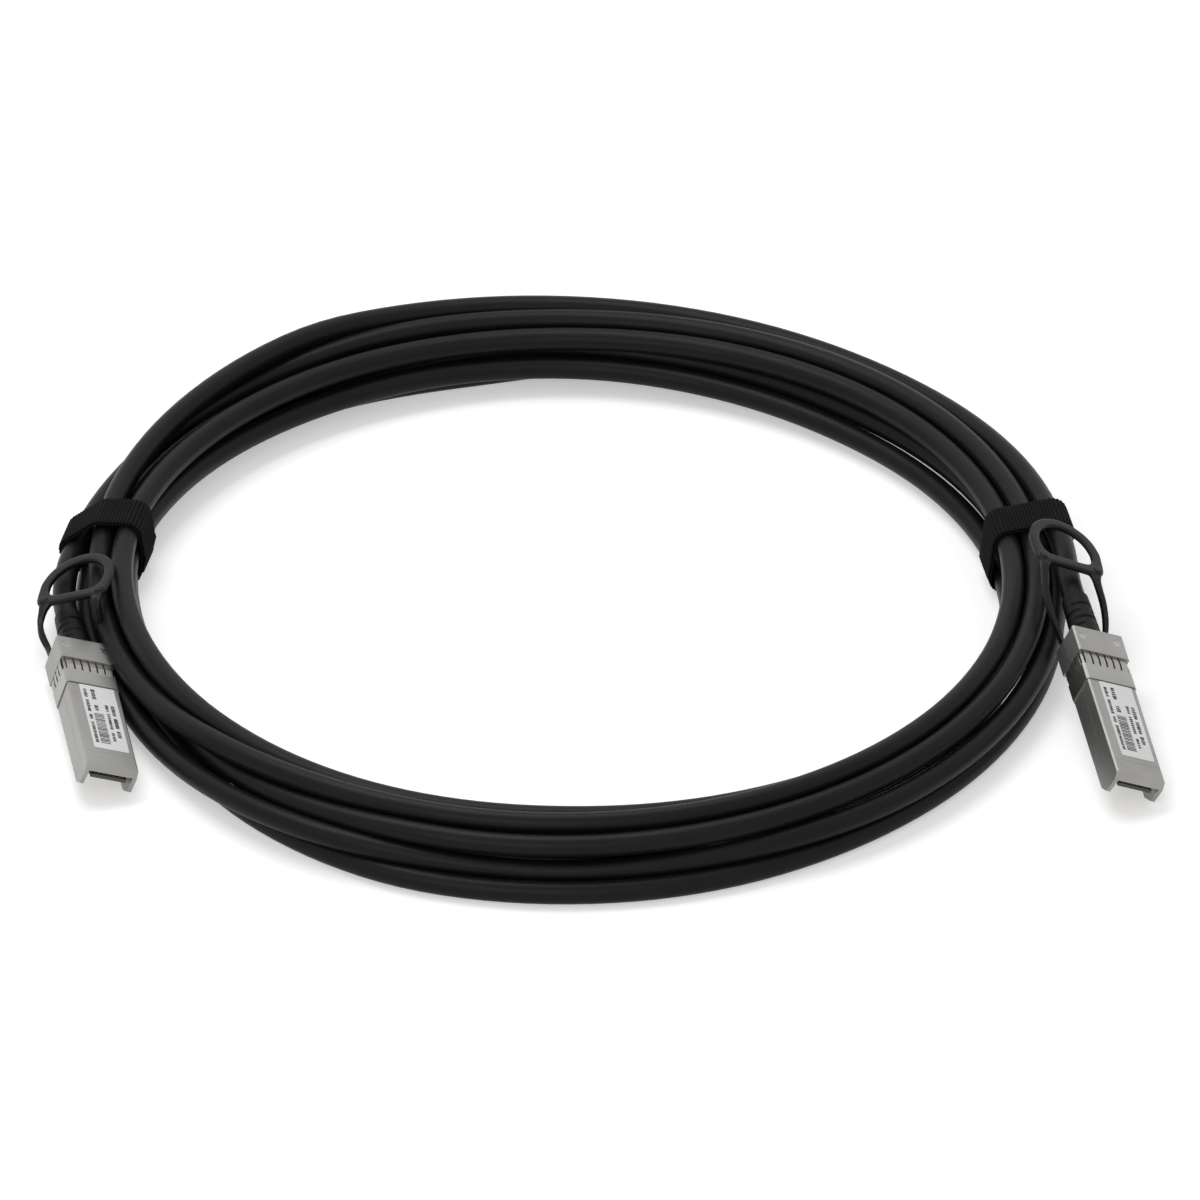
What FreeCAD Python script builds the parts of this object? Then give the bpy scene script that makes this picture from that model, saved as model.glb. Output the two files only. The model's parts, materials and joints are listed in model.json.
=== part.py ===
import FreeCAD, Part
import math
import os

from FreeCAD import Placement, Rotation, Vector

# A passive direct attach copper cable for network and storage chassis. One twinax cable is
# wound into a flat coil, held by two hook-and-loop straps, and ends in the same metal plug on
# both sides. Each plug is a die-cast base under a screwed cover, with an EMI spring collar, a
# paddle board, a moulded strain relief, and a release slider drawn by a flexible pull tab.
# Millimetres, +Z up. The origin is on the floor, under the middle of the plugs and straps.

# ---- cable and coil ----
cable_diameter = 5.8
coil_centre = Vector(-7.6, 24.3, 0)
coil_inner_radius = 108.0
coil_width = 20.0
coil_height = 17.4
coil_corner = 6.0
left_bay_width = 8.4
right_bay_width = 12.5
bay_height = 15.5
bay_corner = 4.0
bay_front_angle = 38.0
left_bay_back_angle = 9.5
right_bay_back_angle = 8.0
tail_radius = 125.0
tail_lead = 8.5
arc_share = 0.45
left_tail_height = 8.2
plug_room_gap = 0.4
right_tail_height = 15.9

# ---- straps ----
strap_thickness = 1.2
strap_width = 11.0
strap_gap = 0.3
left_strap_angle = 13.0
right_strap_angle = 11.0
strap_lap_height = 9.0

# ---- plug shell, in the plug's own frame: x across, y from the nose back, z up ----
plug_length = 56.0
body_width = 13.55
body_height = 8.5
body_corner = 0.4
wall = 1.1
seam_gap = 0.06
cut_over = 1.0
bar_sides = 16
head_length = 9.0
head_overhang = 0.325
head_rise = 0.8
head_drop = 0.3
cover_plate = 0.8
skirt_depth = 3.7
skirt_thickness = 0.6
nose_band = 6.0
nose_roof = 0.9
nose_slope = 1.2
lip_height = 2.2
lip_thickness = 0.9
prong_setback = 4.2
prong_tip_setback = 0.8
prong_tip_height = 1.8
mouth_depth = 9.0
floor_top = 1.8
channel_top = 1.0
channel_rim = 1.125
rear_wall = 1.2
axis_height = 4.4

# ---- latch boss under the body ----
boss_width = 3.6
boss_length = 3.4
boss_height = 1.0
boss_setback = 4.04

# ---- EMI spring collar ----
collar_length = 10.3
collar_sheet = 0.2
collar_gap = 0.05
finger_length = 5.0
finger_bulge = 0.22
finger_count = 6
side_finger_count = 4
finger_slot = 0.5
finger_recess = 0.25
collar_corner_inset = 0.8

# ---- paddle board and what it carries ----
board_thickness = 1.0
board_low = 4.0
board_front = 1.0
board_length = 25.7
tongue_width = 9.2
tongue_length = 10.2
board_side_gap = 0.15
ledge_width = 0.8
ledge_front = 12.0
pad_count = 10
pad_pitch = 0.8
pad_width = 0.5
pad_length = 3.4
pad_thickness = 0.08
pad_setback = 0.5
chip_size = 3.0
chip_height = 0.85
chip_place = Vector(2.6, 17.5, 0)

# ---- cable end, wires, ferrule and strain relief ----
fit_gap = 0.05
cable_end_depth = 7.7
pair_height = 1.2
pair_width = 2.3
pair_corner = 0.5
pair_front = 20.5
ferrule_length = 3.4
ferrule_wall = 0.55
ferrule_sides = 8
ferrule_pocket_gap = 0.15
wire_port_radius = 2.6
flange_radius = 3.85
flange_length = 2.4
flange_play = 0.1
neck_radius = 3.3
boot_length = 17.0
boot_end_radius = 3.4
groove_rows = 4
groove_width = 0.8
groove_depth = 0.5
groove_pitch = 2.6
groove_start = 4.2
groove_sweep = 124.0
groove_flats = 3

# ---- release slider, its springs and the pull tab ----
slider_travel = 2.5
slider_sheet = 0.6
slider_low = 0.25
slider_side_gap = 0.15
slider_nose = 3.4
slider_setback = 2.5
rail_width = 1.3
ear_setback = 7.1
ear_length = 2.4
ear_top = 2.8
ear_hole_radius = 0.6
peg_radius = 0.5
foot_thickness = 0.85
foot_low = 1.0
foot_gap = 0.15
spring_room = 6.0
spring_ear_width = 1.3
spring_ear_top = 3.5
spring_radius = 0.8
spring_wire = 0.35
spring_height = 2.7
head_web = 0.5

# ---- pull tab ring, in its own frame: x across, y back, z out of its flat side ----
ring_outer_radius = 9.8
ring_stretch = 1.18
ring_sides = 36
ring_band = 2.5
ring_thickness = 1.5
ring_reach = 6.5
crossbar_length = 18.8
crossbar_depth = 3.2
crossbar_corner = 1.5
shoulder_inset = 0.4
button_radius = 1.25
button_height = 0.5
button_inset = 1.8
arm_root = 6.9
arm_width = 2.0
arm_thickness = 1.4
arm_bend = Vector(0.6, -4.0, -0.8)
arm_knee = Vector(0.3, 4.5, 0.4)
foot_reach = 1.0

# ---- label and screws ----
label_width = 9.2
label_margin = 0.34
label_thickness = 0.1
label_front = 7.9
label_offset = 0.7
screw_flange_gap = 0.4
screw_setback = 3.35
screw_radius = 0.6
screw_head_radius = 1.1
screw_head_height = 0.3
screw_slot = 0.3
screw_end = 3.1

# ---- how the two plugs lie: turned, nose dipped and rolled, in degrees ----
left_turn, left_dip, left_roll = 8.5, 0.4, 18.0
right_turn, right_dip, right_roll = 11.5, 7.5, 24.0
left_nose = Vector(-114.6, -78.2, 0)
right_nose = Vector(139.8, -82.1, 0)
left_ring_turn, left_ring_rise, left_ring_roll = -11.3, 2.1, -20.5
right_ring_turn, right_ring_rise, right_ring_roll = 9.8, 3.4, 25.4
left_ring_offset = Vector(-1.5, 14.2, 8.3)
right_ring_offset = Vector(-4.7, 22.7, 9.0)

corner_growth = 2 - math.sqrt(2)
cable_radius = cable_diameter / 2
half_body = body_width / 2
head_width = body_width + 2 * head_overhang
channel_width = body_width - 2 * channel_rim
screw_spacing = 2 * (flange_radius + screw_radius + screw_flange_gap)
half_inner = half_body - wall
half_head = head_width / 2
head_front = plug_length - head_length
head_top = body_height + head_rise
collar_front = head_front - seam_gap - collar_length
cavity_back = head_front + head_web
coil_low = strap_thickness + strap_gap
boot_end = plug_length + boot_length
boss_place = collar_front - boss_setback
slider_front = boss_place - slider_nose
slider_back = plug_length - slider_setback
spring_ear_front = head_front - spring_room
ear_front = plug_length - ear_setback
cable_end_front = plug_length - cable_end_depth
label_length = collar_front - label_margin - label_front
ear_outside = channel_width / 2 - slider_side_gap
foot_outside = ear_outside + fit_gap + foot_thickness

X, Y, Z = Vector(1, 0, 0), Vector(0, 1, 0), Vector(0, 0, 1)


def box(x_range, y_range, z_range):
    """A block between two corners."""
    low = Vector(x_range[0], y_range[0], z_range[0])
    high = Vector(x_range[1], y_range[1], z_range[1])
    size = high - low
    return Part.makeBox(size.x, size.y, size.z, low)


def centred(width, y_range, z_range):
    """A block centred across the plug."""
    return box((-width / 2, width / 2), y_range, z_range)


def both_sides(shape):
    """A shape on the right side of the plug, and its mirror image on the left."""
    return [shape, shape.mirror(Vector(0, 0, 0), X)]


def prism(points, width):
    """A side outline of (y, z) points, extruded across the plug and centred on it."""
    corners = [Vector(-width / 2, y, z) for y, z in points]
    face = Part.Face(Part.makePolygon(corners + corners[:1]))
    return face.extrude(Vector(width, 0, 0))


def round_outline(radius, sides, centre, across, up):
    """A closed wire of even sides on a circle."""
    corners = []
    for side in range(sides):
        angle = 2 * math.pi * side / sides
        corners.append(centre + across * (radius * math.cos(angle)) + up * (radius * math.sin(angle)))
    return Part.makePolygon(corners + corners[:1])


def even_bar(radius, start, run):
    """A bar of even sides that runs from a point along X, Y or Z."""
    across = Y if run.x else X
    up = Y if run.z else Z
    return Part.Face(round_outline(radius, bar_sides, start, across, up)).extrude(run)


def rod(radius, y_range, x=0.0, z=axis_height):
    """An even-sided bar along the plug."""
    return even_bar(radius, Vector(x, y_range[0], z), Y * (y_range[1] - y_range[0]))


def fused(shapes):
    """Several overlapping or touching solids made one."""
    return shapes[0].multiFuse(shapes[1:]).removeSplitter()


def rounded_rectangle(u_range, v_range, radius, point):
    """A closed wire round a rectangle with round corners; point maps (u, v) to space."""
    (u0, u1), (v0, v1) = u_range, v_range
    corners = ((u1, v0, -90), (u1, v1, 0), (u0, v1, 90), (u0, v0, 180))
    edges = []
    stops = []
    for u, v, start in corners:
        cu = u - radius if u == u1 else u + radius
        cv = v - radius if v == v1 else v + radius
        on_arc = []
        for turn in (0, 45, 90):
            angle = math.radians(start + turn)
            on_arc.append(point(cu + radius * math.cos(angle), cv + radius * math.sin(angle)))
        stops.append(on_arc)
    for here, after in zip(stops, stops[1:] + stops[:1]):
        edges.append(Part.Arc(*here).toShape())
        edges.append(Part.LineSegment(here[2], after[0]).toShape())
    return Part.Wire(edges)


def cut_corner_rectangle(u_range, v_range, corner, point):
    """A closed wire round a rectangle with its corners cut off; point maps (u, v) to space."""
    (u0, u1), (v0, v1) = u_range, v_range
    places = [
        (u0 + corner, v0), (u1 - corner, v0), (u1, v0 + corner), (u1, v1 - corner),
        (u1 - corner, v1), (u0 + corner, v1), (u0, v1 - corner), (u0, v0 + corner),
    ]
    points = [point(u, v) for u, v in places]
    return Part.makePolygon(points + points[:1])


def eased_bar(width, y_range, z_range, corner):
    """A bar along the plug with its long edges cut off."""
    outline = cut_corner_rectangle(
        (-width / 2, width / 2), z_range, corner, lambda u, v: Vector(u, y_range[0], v)
    )
    return Part.Face(outline).extrude(Vector(0, y_range[1] - y_range[0], 0))


# ---- plug shell ----

def side_outline():
    """The body from the side: sloped lip at the nose, walls drawn down to pointed prongs."""
    return [
        (prong_setback, 0),
        (prong_tip_setback, prong_tip_height),
        (0, body_height - lip_height),
        (nose_slope, body_height),
        (plug_length, body_height),
        (plug_length, 0),
    ]


def head_pockets():
    """What the head is bored out for: wires, ferrule, strain relief flange and neck."""
    flange_front = plug_length - rear_wall - flange_play - flange_length - flange_play
    ferrule_bore = cable_radius + fit_gap + ferrule_wall + ferrule_pocket_gap
    return [
        rod(wire_port_radius, (head_front, flange_front)),
        rod(ferrule_bore, (cavity_back, flange_front)),
        rod(flange_radius + flange_play, (flange_front, plug_length - rear_wall)),
        rod(neck_radius + flange_play, (flange_front, plug_length + cut_over)),
    ]


def finger_room():
    """The shallow recess all round the body that the collar's fingers flex into."""
    reach = (collar_front + collar_length - finger_length + finger_slot, head_front)
    outside = centred(body_width + cut_over, reach, (-cut_over, body_height + cut_over))
    heights = (finger_recess, body_height - finger_recess)
    return outside.cut(eased_bar(body_width - 2 * finger_recess, reach, heights, body_corner))


def release_ways():
    """Channel, slots, pockets and rear windows that the release slider and tab run in."""
    slack = slider_side_gap
    low = -head_drop - cut_over
    plate_way = centred(channel_width, (slider_front - slack, head_front), (low, channel_top))
    rail_in = ear_outside - rail_width - slack
    rail_reach = (head_front, plug_length + cut_over)
    rail_way = box((rail_in, channel_width / 2), rail_reach, (low, channel_top))
    ear_in = ear_outside - slider_sheet - slack
    ear_reach = (ear_front - slack, ear_front + ear_length + slider_travel + slack)
    pocket_top = ear_top + slack
    pocket = box((ear_in, foot_outside + slack), ear_reach, (foot_low - slack, pocket_top))
    ear_slot = box((ear_in, channel_width / 2), ear_reach, (low, pocket_top))
    window = box(
        (ear_outside - slack, foot_outside + slack),
        (ear_front, plug_length + cut_over),
        (foot_low - slack, pocket_top),
    )
    spring_in = ear_outside - spring_ear_width - slack
    spring_slot = box(
        (spring_in, channel_width / 2),
        (spring_ear_front - slack, spring_ear_front + slider_sheet + slider_travel + slack),
        (low, floor_top + cut_over),
    )
    ways = [plate_way]
    for way in (rail_way, pocket, ear_slot, window, spring_slot):
        ways += both_sides(way)
    return ways


def screw_places():
    """Centres of the two cover screws, on top of the head."""
    y = plug_length - screw_setback
    return [Vector(side * screw_spacing / 2, y, 0) for side in (-1, 1)]


def screw_shanks(radius, top):
    """The two screw shanks, or the holes for them."""
    shanks = []
    for place in screw_places():
        shanks.append(even_bar(radius, place + Z * screw_end, Z * (top - screw_end)))
    return shanks


def base_housing():
    """The die-cast base: floor, lower walls, nose with lip and prongs, lower half of the head."""
    bar = eased_bar(body_width, (-cut_over, plug_length), (0, body_height), body_corner)
    body = prism(side_outline(), head_width).common(bar)
    body = body.fuse(centred(head_width, (head_front, plug_length), (-head_drop, axis_height)))
    roof = body_height - nose_roof
    under_cover = body_height - cover_plate - seam_gap
    skirt_low = body_height - skirt_depth - seam_gap
    inner_width = 2 * half_inner
    lip_low = body_height - lip_height
    past_top = head_top + cut_over
    past_rear = plug_length + cut_over
    past_sides = head_width + 2 * cut_over
    inner_front = max(nose_band, prong_setback - nose_slope)
    cuts = [
        centred(inner_width, (-cut_over, mouth_depth), (-cut_over, lip_low)),
        centred(inner_width, (nose_slope + lip_thickness, nose_band), (0, roof)),
        centred(inner_width, (inner_front, head_front), (floor_top, past_top)),
        centred(past_sides, (nose_band, head_front + cut_over), (under_cover, past_top)),
        centred(past_sides, (head_front, past_rear), (axis_height, past_top)),
    ]
    rebate = box(
        (half_body - skirt_thickness - seam_gap, half_body + cut_over),
        (nose_band, head_front),
        (skirt_low, past_top),
    )
    body = body.cut(cuts + [finger_room()] + both_sides(rebate) + head_pockets() + release_ways())
    body = body.cut(screw_shanks(screw_radius, axis_height + cut_over))
    ledge = box(
        (half_inner - ledge_width, half_inner + fit_gap),
        (ledge_front, board_front + board_length),
        (channel_top + fit_gap, board_low),
    )
    boss = prism(
        [
            (boss_place - boss_length / 2, channel_top + fit_gap),
            (boss_place - boss_length / 2, 0),
            (boss_place + boss_length / 2, -boss_height),
            (boss_place + boss_length / 2, channel_top + fit_gap),
        ],
        boss_width,
    )
    return fused([body, boss] + both_sides(ledge))


def top_cover():
    """The cover: a plate with side skirts, and the upper half of the head as its cap."""
    front = nose_band + seam_gap
    reach = (front, head_front + cut_over)
    bar = eased_bar(body_width, reach, (0, body_height), body_corner)
    plate = bar.common(centred(body_width, reach, (body_height - cover_plate, body_height)))
    skirt = bar.common(
        box(
            (half_body - skirt_thickness, half_body),
            (front, head_front - seam_gap),
            (body_height - skirt_depth, body_height),
        )
    )
    cap_heights = (axis_height - body_corner, head_top)
    cap = eased_bar(head_width, (head_front, plug_length), cap_heights, body_corner)
    cap = cap.cut(centred(head_width + 2 * cut_over, (0, plug_length + cut_over), (0, axis_height)))
    cover = fused([plate, cap] + both_sides(skirt))
    cover = cover.cut([finger_room()] + head_pockets() + screw_shanks(screw_radius, head_top + cut_over))
    sinks = []
    for place in screw_places():
        seat = place + Z * (head_top - screw_head_height)
        depth = screw_head_height + cut_over
        sinks.append(Part.makeCylinder(screw_head_radius + fit_gap, depth, seat, Z))
    return cover.cut(sinks)


def cover_screws():
    """Two small countersunk screws through the cap into the base."""
    slots = []
    heads = []
    top = head_top - fit_gap
    for place in screw_places():
        heads.append(
            Part.makeCylinder(
                screw_head_radius,
                screw_head_height - fit_gap,
                place + Z * (head_top - screw_head_height),
                Z,
            )
        )
        for turn in (45, 135):
            slot = Part.makeBox(2 * screw_head_radius - screw_slot, screw_slot, screw_slot)
            slot.translate(Vector(screw_slot / 2 - screw_head_radius, -screw_slot / 2, 0))
            slot.rotate(Vector(0, 0, 0), Z, turn)
            slot.translate(place + Z * (top - screw_slot / 2))
            slots.append(slot)
    shanks = screw_shanks(screw_radius - fit_gap, head_top - screw_head_height)
    screws = [head.fuse(shank).cut(slots) for head, shank in zip(heads, shanks)]
    return Part.makeCompound(screws)


def finger_row(width, lift, count):
    """One side's row of bowed spring fingers; lift is the height of the face they lie on."""
    y0 = collar_front + collar_length - finger_length
    y1 = collar_front + collar_length
    low = lift + collar_gap
    crest = (y0 + y1) / 2
    outline = [
        (y0, low),
        (crest, low + finger_bulge),
        (y1, low),
        (y1, low + collar_sheet),
        (crest, low + finger_bulge + collar_sheet),
        (y0, low + collar_sheet),
    ]
    row = prism(outline, width)
    pitch = width / count
    gaps = []
    for gap in range(1, count):
        place = -width / 2 + gap * pitch
        gaps.append(
            box(
                (place - finger_slot / 2, place + finger_slot / 2),
                (y0 + finger_slot, y1 + cut_over),
                (lift, low + finger_bulge + cut_over),
            )
        )
    return row.cut(gaps)


def emi_collar():
    """A stamped spring collar round the body, in front of the head."""
    band_back = collar_front + collar_length - finger_length
    inside = collar_gap
    outside = collar_gap + collar_sheet
    band = eased_bar(
        body_width + 2 * outside,
        (collar_front, band_back + finger_slot),
        (-outside, body_height + outside),
        body_corner + outside * corner_growth,
    ).cut(
        eased_bar(
            body_width + 2 * inside,
            (collar_front - cut_over, band_back + cut_over),
            (-inside, body_height + inside),
            body_corner + inside * corner_growth,
        )
    )
    half_height = body_height / 2
    middle = Vector(0, 0, half_height)
    rows = []
    wide = body_width - 2 * collar_corner_inset
    tall = body_height - 2 * collar_corner_inset
    sides = (
        (wide, half_height, finger_count, 0),
        (tall, half_body, side_finger_count, 90),
        (wide, half_height, finger_count, 180),
        (tall, half_body, side_finger_count, 270),
    )
    for width, lift, count, turn in sides:
        row = finger_row(width, lift, count)
        row.rotate(Vector(0, 0, 0), Y, turn)
        row.translate(middle)
        rows.append(row)
    return fused([band] + rows)


# ---- inside the plug ----

def paddle_board():
    """The circuit board, with the narrow tongue that the host connector takes."""
    z_range = (board_low, board_low + board_thickness)
    wide = 2 * (half_inner - board_side_gap)
    tongue_end = board_front + tongue_length
    tongue = centred(tongue_width, (board_front, tongue_end), z_range)
    return fused([tongue, centred(wide, (tongue_end, board_front + board_length), z_range)])


def contact_pads():
    """Ten gold edge contacts on each side of the tongue."""
    pads = []
    y0 = board_front + pad_setback
    tops = (board_low - pad_thickness, board_low + board_thickness)
    for low in tops:
        for index in range(pad_count):
            x = (index - (pad_count - 1) / 2) * pad_pitch
            pads.append(
                box(
                    (x - pad_width / 2, x + pad_width / 2),
                    (y0, y0 + pad_length),
                    (low, low + pad_thickness),
                )
            )
    return Part.makeCompound(pads)


def memory_chip():
    """The identification memory on the board."""
    low = board_low + board_thickness
    chip = Part.makeBox(chip_size, chip_size, chip_height)
    chip.translate(chip_place + Z * low - (X + Y) * (chip_size / 2))
    return chip


def signal_wires():
    """Two foil-wrapped twinax pairs, one on each face of the board, back into the cable end."""
    half_width = pair_width / 2
    tops = (board_low - fit_gap, board_low + board_thickness + fit_gap + pair_height)
    reach = (pair_front, cable_end_front - fit_gap)
    pairs = []
    for top in tops:
        outline = rounded_rectangle(
            (-half_width, half_width),
            (top - pair_height, top),
            pair_corner,
            lambda u, v: Vector(u, reach[0], v),
        )
        pairs.append(Part.Face(outline).extrude(Y * (reach[1] - reach[0])))
    return Part.makeCompound(pairs)


def crimp_ferrule():
    """The ring that bonds the cable's braid to the head, crimped to an even-sided outline."""
    inner = cable_radius + fit_gap
    y_range = (cable_end_front, cable_end_front + ferrule_length)
    start = Vector(0, cable_end_front, axis_height)
    outline = round_outline(inner + ferrule_wall, ferrule_sides, start, X, Z)
    return Part.Face(outline).extrude(Y * ferrule_length).cut(rod(inner, y_range))


def cable_end():
    """The cable's own end, straight through the strain relief and into the ferrule."""
    return rod(cable_radius, (cable_end_front, boot_end))


def flex_groove(surface, y, middle):
    """One groove round part of the boot, centred on an angle, its floor made of flats."""
    flat = math.radians(groove_sweep / groove_flats)
    floor = (surface - groove_depth) / math.cos(flat / 2)
    inner = []
    outer = []
    for step in range(groove_flats + 1):
        angle = math.radians(middle) + (step - groove_flats / 2) * flat
        way = Vector(math.cos(angle), 0, math.sin(angle))
        inner.append(way * floor + Y * y)
        outer.append(way * (surface + cut_over) + Y * y)
    outline = inner + outer[::-1]
    return Part.Face(Part.makePolygon(outline + outline[:1])).extrude(Y * groove_width)


def strain_relief():
    """The moulded boot: trapped flange, neck, tapered body and rows of flex grooves."""
    flange_back = plug_length - rear_wall - flange_play
    front = plug_length + flange_play
    taper_start = plug_length + groove_start / 2
    rings = []
    for radius, y in ((flange_radius, front), (flange_radius, taper_start), (boot_end_radius, boot_end)):
        rings.append(round_outline(radius, bar_sides, Vector(0, y, 0), X, Z))
    body = Part.makeLoft(rings, True, True)
    taper = (flange_radius - boot_end_radius) / (boot_end - taper_start)
    grooves = []
    for row in range(groove_rows):
        y = plug_length + groove_start + row * groove_pitch
        surface = flange_radius - taper * (y - taper_start)
        first = 90 * (row % 2)
        grooves += [flex_groove(surface, y, first), flex_groove(surface, y, first + 180)]
    body = body.cut(grooves)
    flange = rod(flange_radius, (flange_back - flange_length, flange_back), z=0)
    neck = rod(neck_radius, (flange_back, front), z=0)
    bore = rod(cable_radius + fit_gap, (flange_back - flange_length, boot_end), z=0)
    boot = fused([body, neck, flange]).cut(bore)
    boot.translate(Z * axis_height)
    return boot


# ---- release mechanism ----

def release_slider():
    """A stamped plate forked round the latch boss, with two rails and upturned ears."""
    z_range = (slider_low, slider_low + slider_sheet)
    web_end = head_front - slider_travel - slider_side_gap
    plate = centred(2 * ear_outside, (slider_front, web_end), z_range)
    fork_gap = boss_width / 2 + slider_side_gap
    boss_back = boss_place + boss_length / 2
    fork_reach = (slider_front - cut_over, boss_back + slider_side_gap)
    fork = centred(2 * fork_gap, fork_reach, z_range)
    parts = []
    rail = box((ear_outside - rail_width, ear_outside), (slider_front, slider_back), z_range)
    ear = box(
        (ear_outside - slider_sheet, ear_outside),
        (ear_front, ear_front + ear_length),
        (slider_low, ear_top),
    ).cut(even_bar(ear_hole_radius, peg_centre(), X * channel_width))
    spring_ear = box(
        (ear_outside - spring_ear_width, ear_outside),
        (spring_ear_front, spring_ear_front + slider_sheet),
        (slider_low, spring_ear_top),
    )
    for piece in (rail, ear, spring_ear):
        parts += both_sides(piece)
    return fused([plate.cut(fork)] + parts)


def peg_centre():
    """Where the tab's peg passes through the slider's ear, on the plug's middle plane."""
    middle = (slider_low + slider_sheet + ear_top) / 2
    return Vector(0, ear_front + ear_length / 2, middle)


def return_springs():
    """Two small compression springs between the slider's inner ears and the head."""
    x = ear_outside - spring_radius
    y_range = (spring_ear_front + slider_sheet + fit_gap, head_front - fit_gap)
    springs = []
    for side in (-1, 1):
        outside = rod(spring_radius, y_range, side * x, spring_height)
        inside = rod(spring_radius - spring_wire, y_range, side * x, spring_height)
        springs.append(outside.cut(inside))
    return Part.makeCompound(springs)


def oval_disc(radius, z_range):
    """A flat disc, longer along the tab than across it, centred on the finger hole."""
    centre = Vector(0, ring_reach, z_range[0])
    outline = round_outline(radius, ring_sides, centre, X, Y * ring_stretch)
    return Part.Face(outline).extrude(Z * (z_range[1] - z_range[0]))


def ring_plate():
    """The finger ring: a D with a crossbar, and a raised button at each end of the bar."""
    thick = ring_thickness
    low = -thick / 2
    hoop = oval_disc(ring_outer_radius, (low, thick / 2))
    bar = rounded_rectangle(
        (-crossbar_length / 2, crossbar_length / 2),
        (-crossbar_depth / 2, crossbar_depth / 2),
        crossbar_corner,
        lambda u, v: Vector(u, v, low),
    )
    bar = Part.Face(bar).extrude(Z * thick)
    half_bar = crossbar_length / 2 - shoulder_inset
    shoulder = [
        Vector(-half_bar, 0, low),
        Vector(half_bar, 0, low),
        Vector(ring_outer_radius, ring_reach, low),
        Vector(-ring_outer_radius, ring_reach, low),
    ]
    shoulder = Part.Face(Part.makePolygon(shoulder + shoulder[:1])).extrude(Z * thick)
    inner_radius = ring_outer_radius - ring_band
    past = (low - cut_over, thick / 2 + cut_over)
    hole_reach = (crossbar_depth / 2, ring_reach + inner_radius * ring_stretch)
    hole = oval_disc(inner_radius, past).common(centred(2 * inner_radius, hole_reach, past))
    plate = fused([hoop, bar, shoulder]).cut(hole)
    buttons = []
    for side in (-1, 1):
        place = Vector(side * (crossbar_length / 2 - button_inset), 0, low)
        buttons.append(even_bar(button_radius, place, Z * (thick + button_height)))
    return fused([plate] + buttons)


def strip(stations, side):
    """A bar of flat facets through rectangles: (place, side way, up way, width, height) each."""
    rings = []
    for place, across, up, width, height in stations:
        corners = []
        for u, v in ((-1, -1), (1, -1), (1, 1), (-1, 1)):
            corners.append(place + across * (u * width / 2) + up * (v * height / 2))
        rings.append(corners)
    facets = [rings[0], rings[-1]]
    for ring, after in zip(rings, rings[1:]):
        for here in range(4):
            there = (here + 1) % 4
            if side > 0:
                facets.append([ring[here], ring[there], after[there]])
                facets.append([ring[here], after[there], after[here]])
            else:
                facets.append([ring[here], ring[there], after[here]])
                facets.append([ring[there], after[there], after[here]])
    faces = []
    for corners in facets:
        loop = Part.makePolygon(corners + corners[:1])
        faces.append(Part.Face(loop) if len(corners) == 3 else Part.makeFilledFace(loop.Edges))
    solid = Part.Solid(Part.Shell(faces))
    if solid.Volume < 0:
        solid.reverse()
    return solid


def pull_tab(ring_place):
    """The flexible tab: ring, two arms round the strain relief, and feet pegged to the ears."""
    ring = ring_plate()
    ring.Placement = ring_place
    turn = ring_place.Rotation
    pieces = [ring]
    foot_middle = (foot_low + ear_top) / 2
    foot_height = ear_top - foot_low
    for side in (-1, 1):
        foot_x = side * (foot_outside - foot_thickness / 2)
        root = ring_place.multVec(Vector(side * arm_root, 0, 0))
        bend = ring_place.multVec(Vector(side * (arm_root + arm_bend.x), arm_bend.y, arm_bend.z))
        low_end = Vector(foot_x, plug_length + foot_reach, foot_middle)
        knee = Vector(foot_x + side * arm_knee.x, plug_length + arm_knee.y, foot_middle + arm_knee.z)
        middle = (bend + knee) / 2
        across_ring = turn.multVec(X)
        up_ring = turn.multVec(Z)
        across_mid = (across_ring + X) / 2
        up_mid = (up_ring + Z) / 2
        stations = [
            (root, across_ring, up_ring, arm_width, arm_thickness),
            (bend, across_ring, up_ring, arm_width, arm_thickness),
            (middle, across_mid, up_mid, arm_thickness, arm_width),
            (knee, X, Z, foot_thickness, foot_height),
            (low_end, X, Z, foot_thickness, foot_height),
        ]
        pieces.append(strip(stations, side))
        foot = box(
            (foot_outside - foot_thickness, foot_outside),
            (ear_front, plug_length + foot_reach),
            (foot_low, ear_top),
        )
        peg_start = peg_centre() + X * (foot_outside - foot_thickness - slider_sheet)
        peg = even_bar(peg_radius, peg_start, X * (slider_sheet + fit_gap))
        foot = foot.fuse(peg)
        if side < 0:
            foot = foot.mirror(Vector(0, 0, 0), X)
        pieces.append(foot)
    return fused(pieces)


def label():
    """The rating label, a thin plate stuck to the cover. It is blank."""
    low = body_height
    return box(
        (label_offset - label_width / 2, label_offset + label_width / 2),
        (label_front, label_front + label_length),
        (low, low + label_thickness),
    )


# ---- coil, straps and tails ----

def on_circle(radius, angle, height):
    """A point round the coil's middle; angle in degrees from +X, anticlockwise from above."""
    turn = math.radians(angle)
    return coil_centre + Vector(radius * math.cos(turn), radius * math.sin(turn), height)


def ring_part(radii, heights, corner, start, end):
    """Part of a ring of rectangular section with cut corners, from one angle to another."""
    outline = cut_corner_rectangle(radii, heights, corner, lambda u, v: Vector(u, 0, v))
    face = Part.Face(outline)
    face.rotate(Vector(0, 0, 0), Z, start)
    ring = face.revolve(Vector(0, 0, 0), Z, end - start)
    ring.translate(coil_centre)
    return ring


def plug_room():
    """The space that the turns leave for a plug, in the plug's own frame."""
    width = head_width + 2 * plug_room_gap
    low = -head_drop - 2 * plug_room_gap
    reach = (-plug_room_gap, plug_length + plug_room_gap)
    return centred(width, reach, (low, head_top + plug_room_gap))


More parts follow.
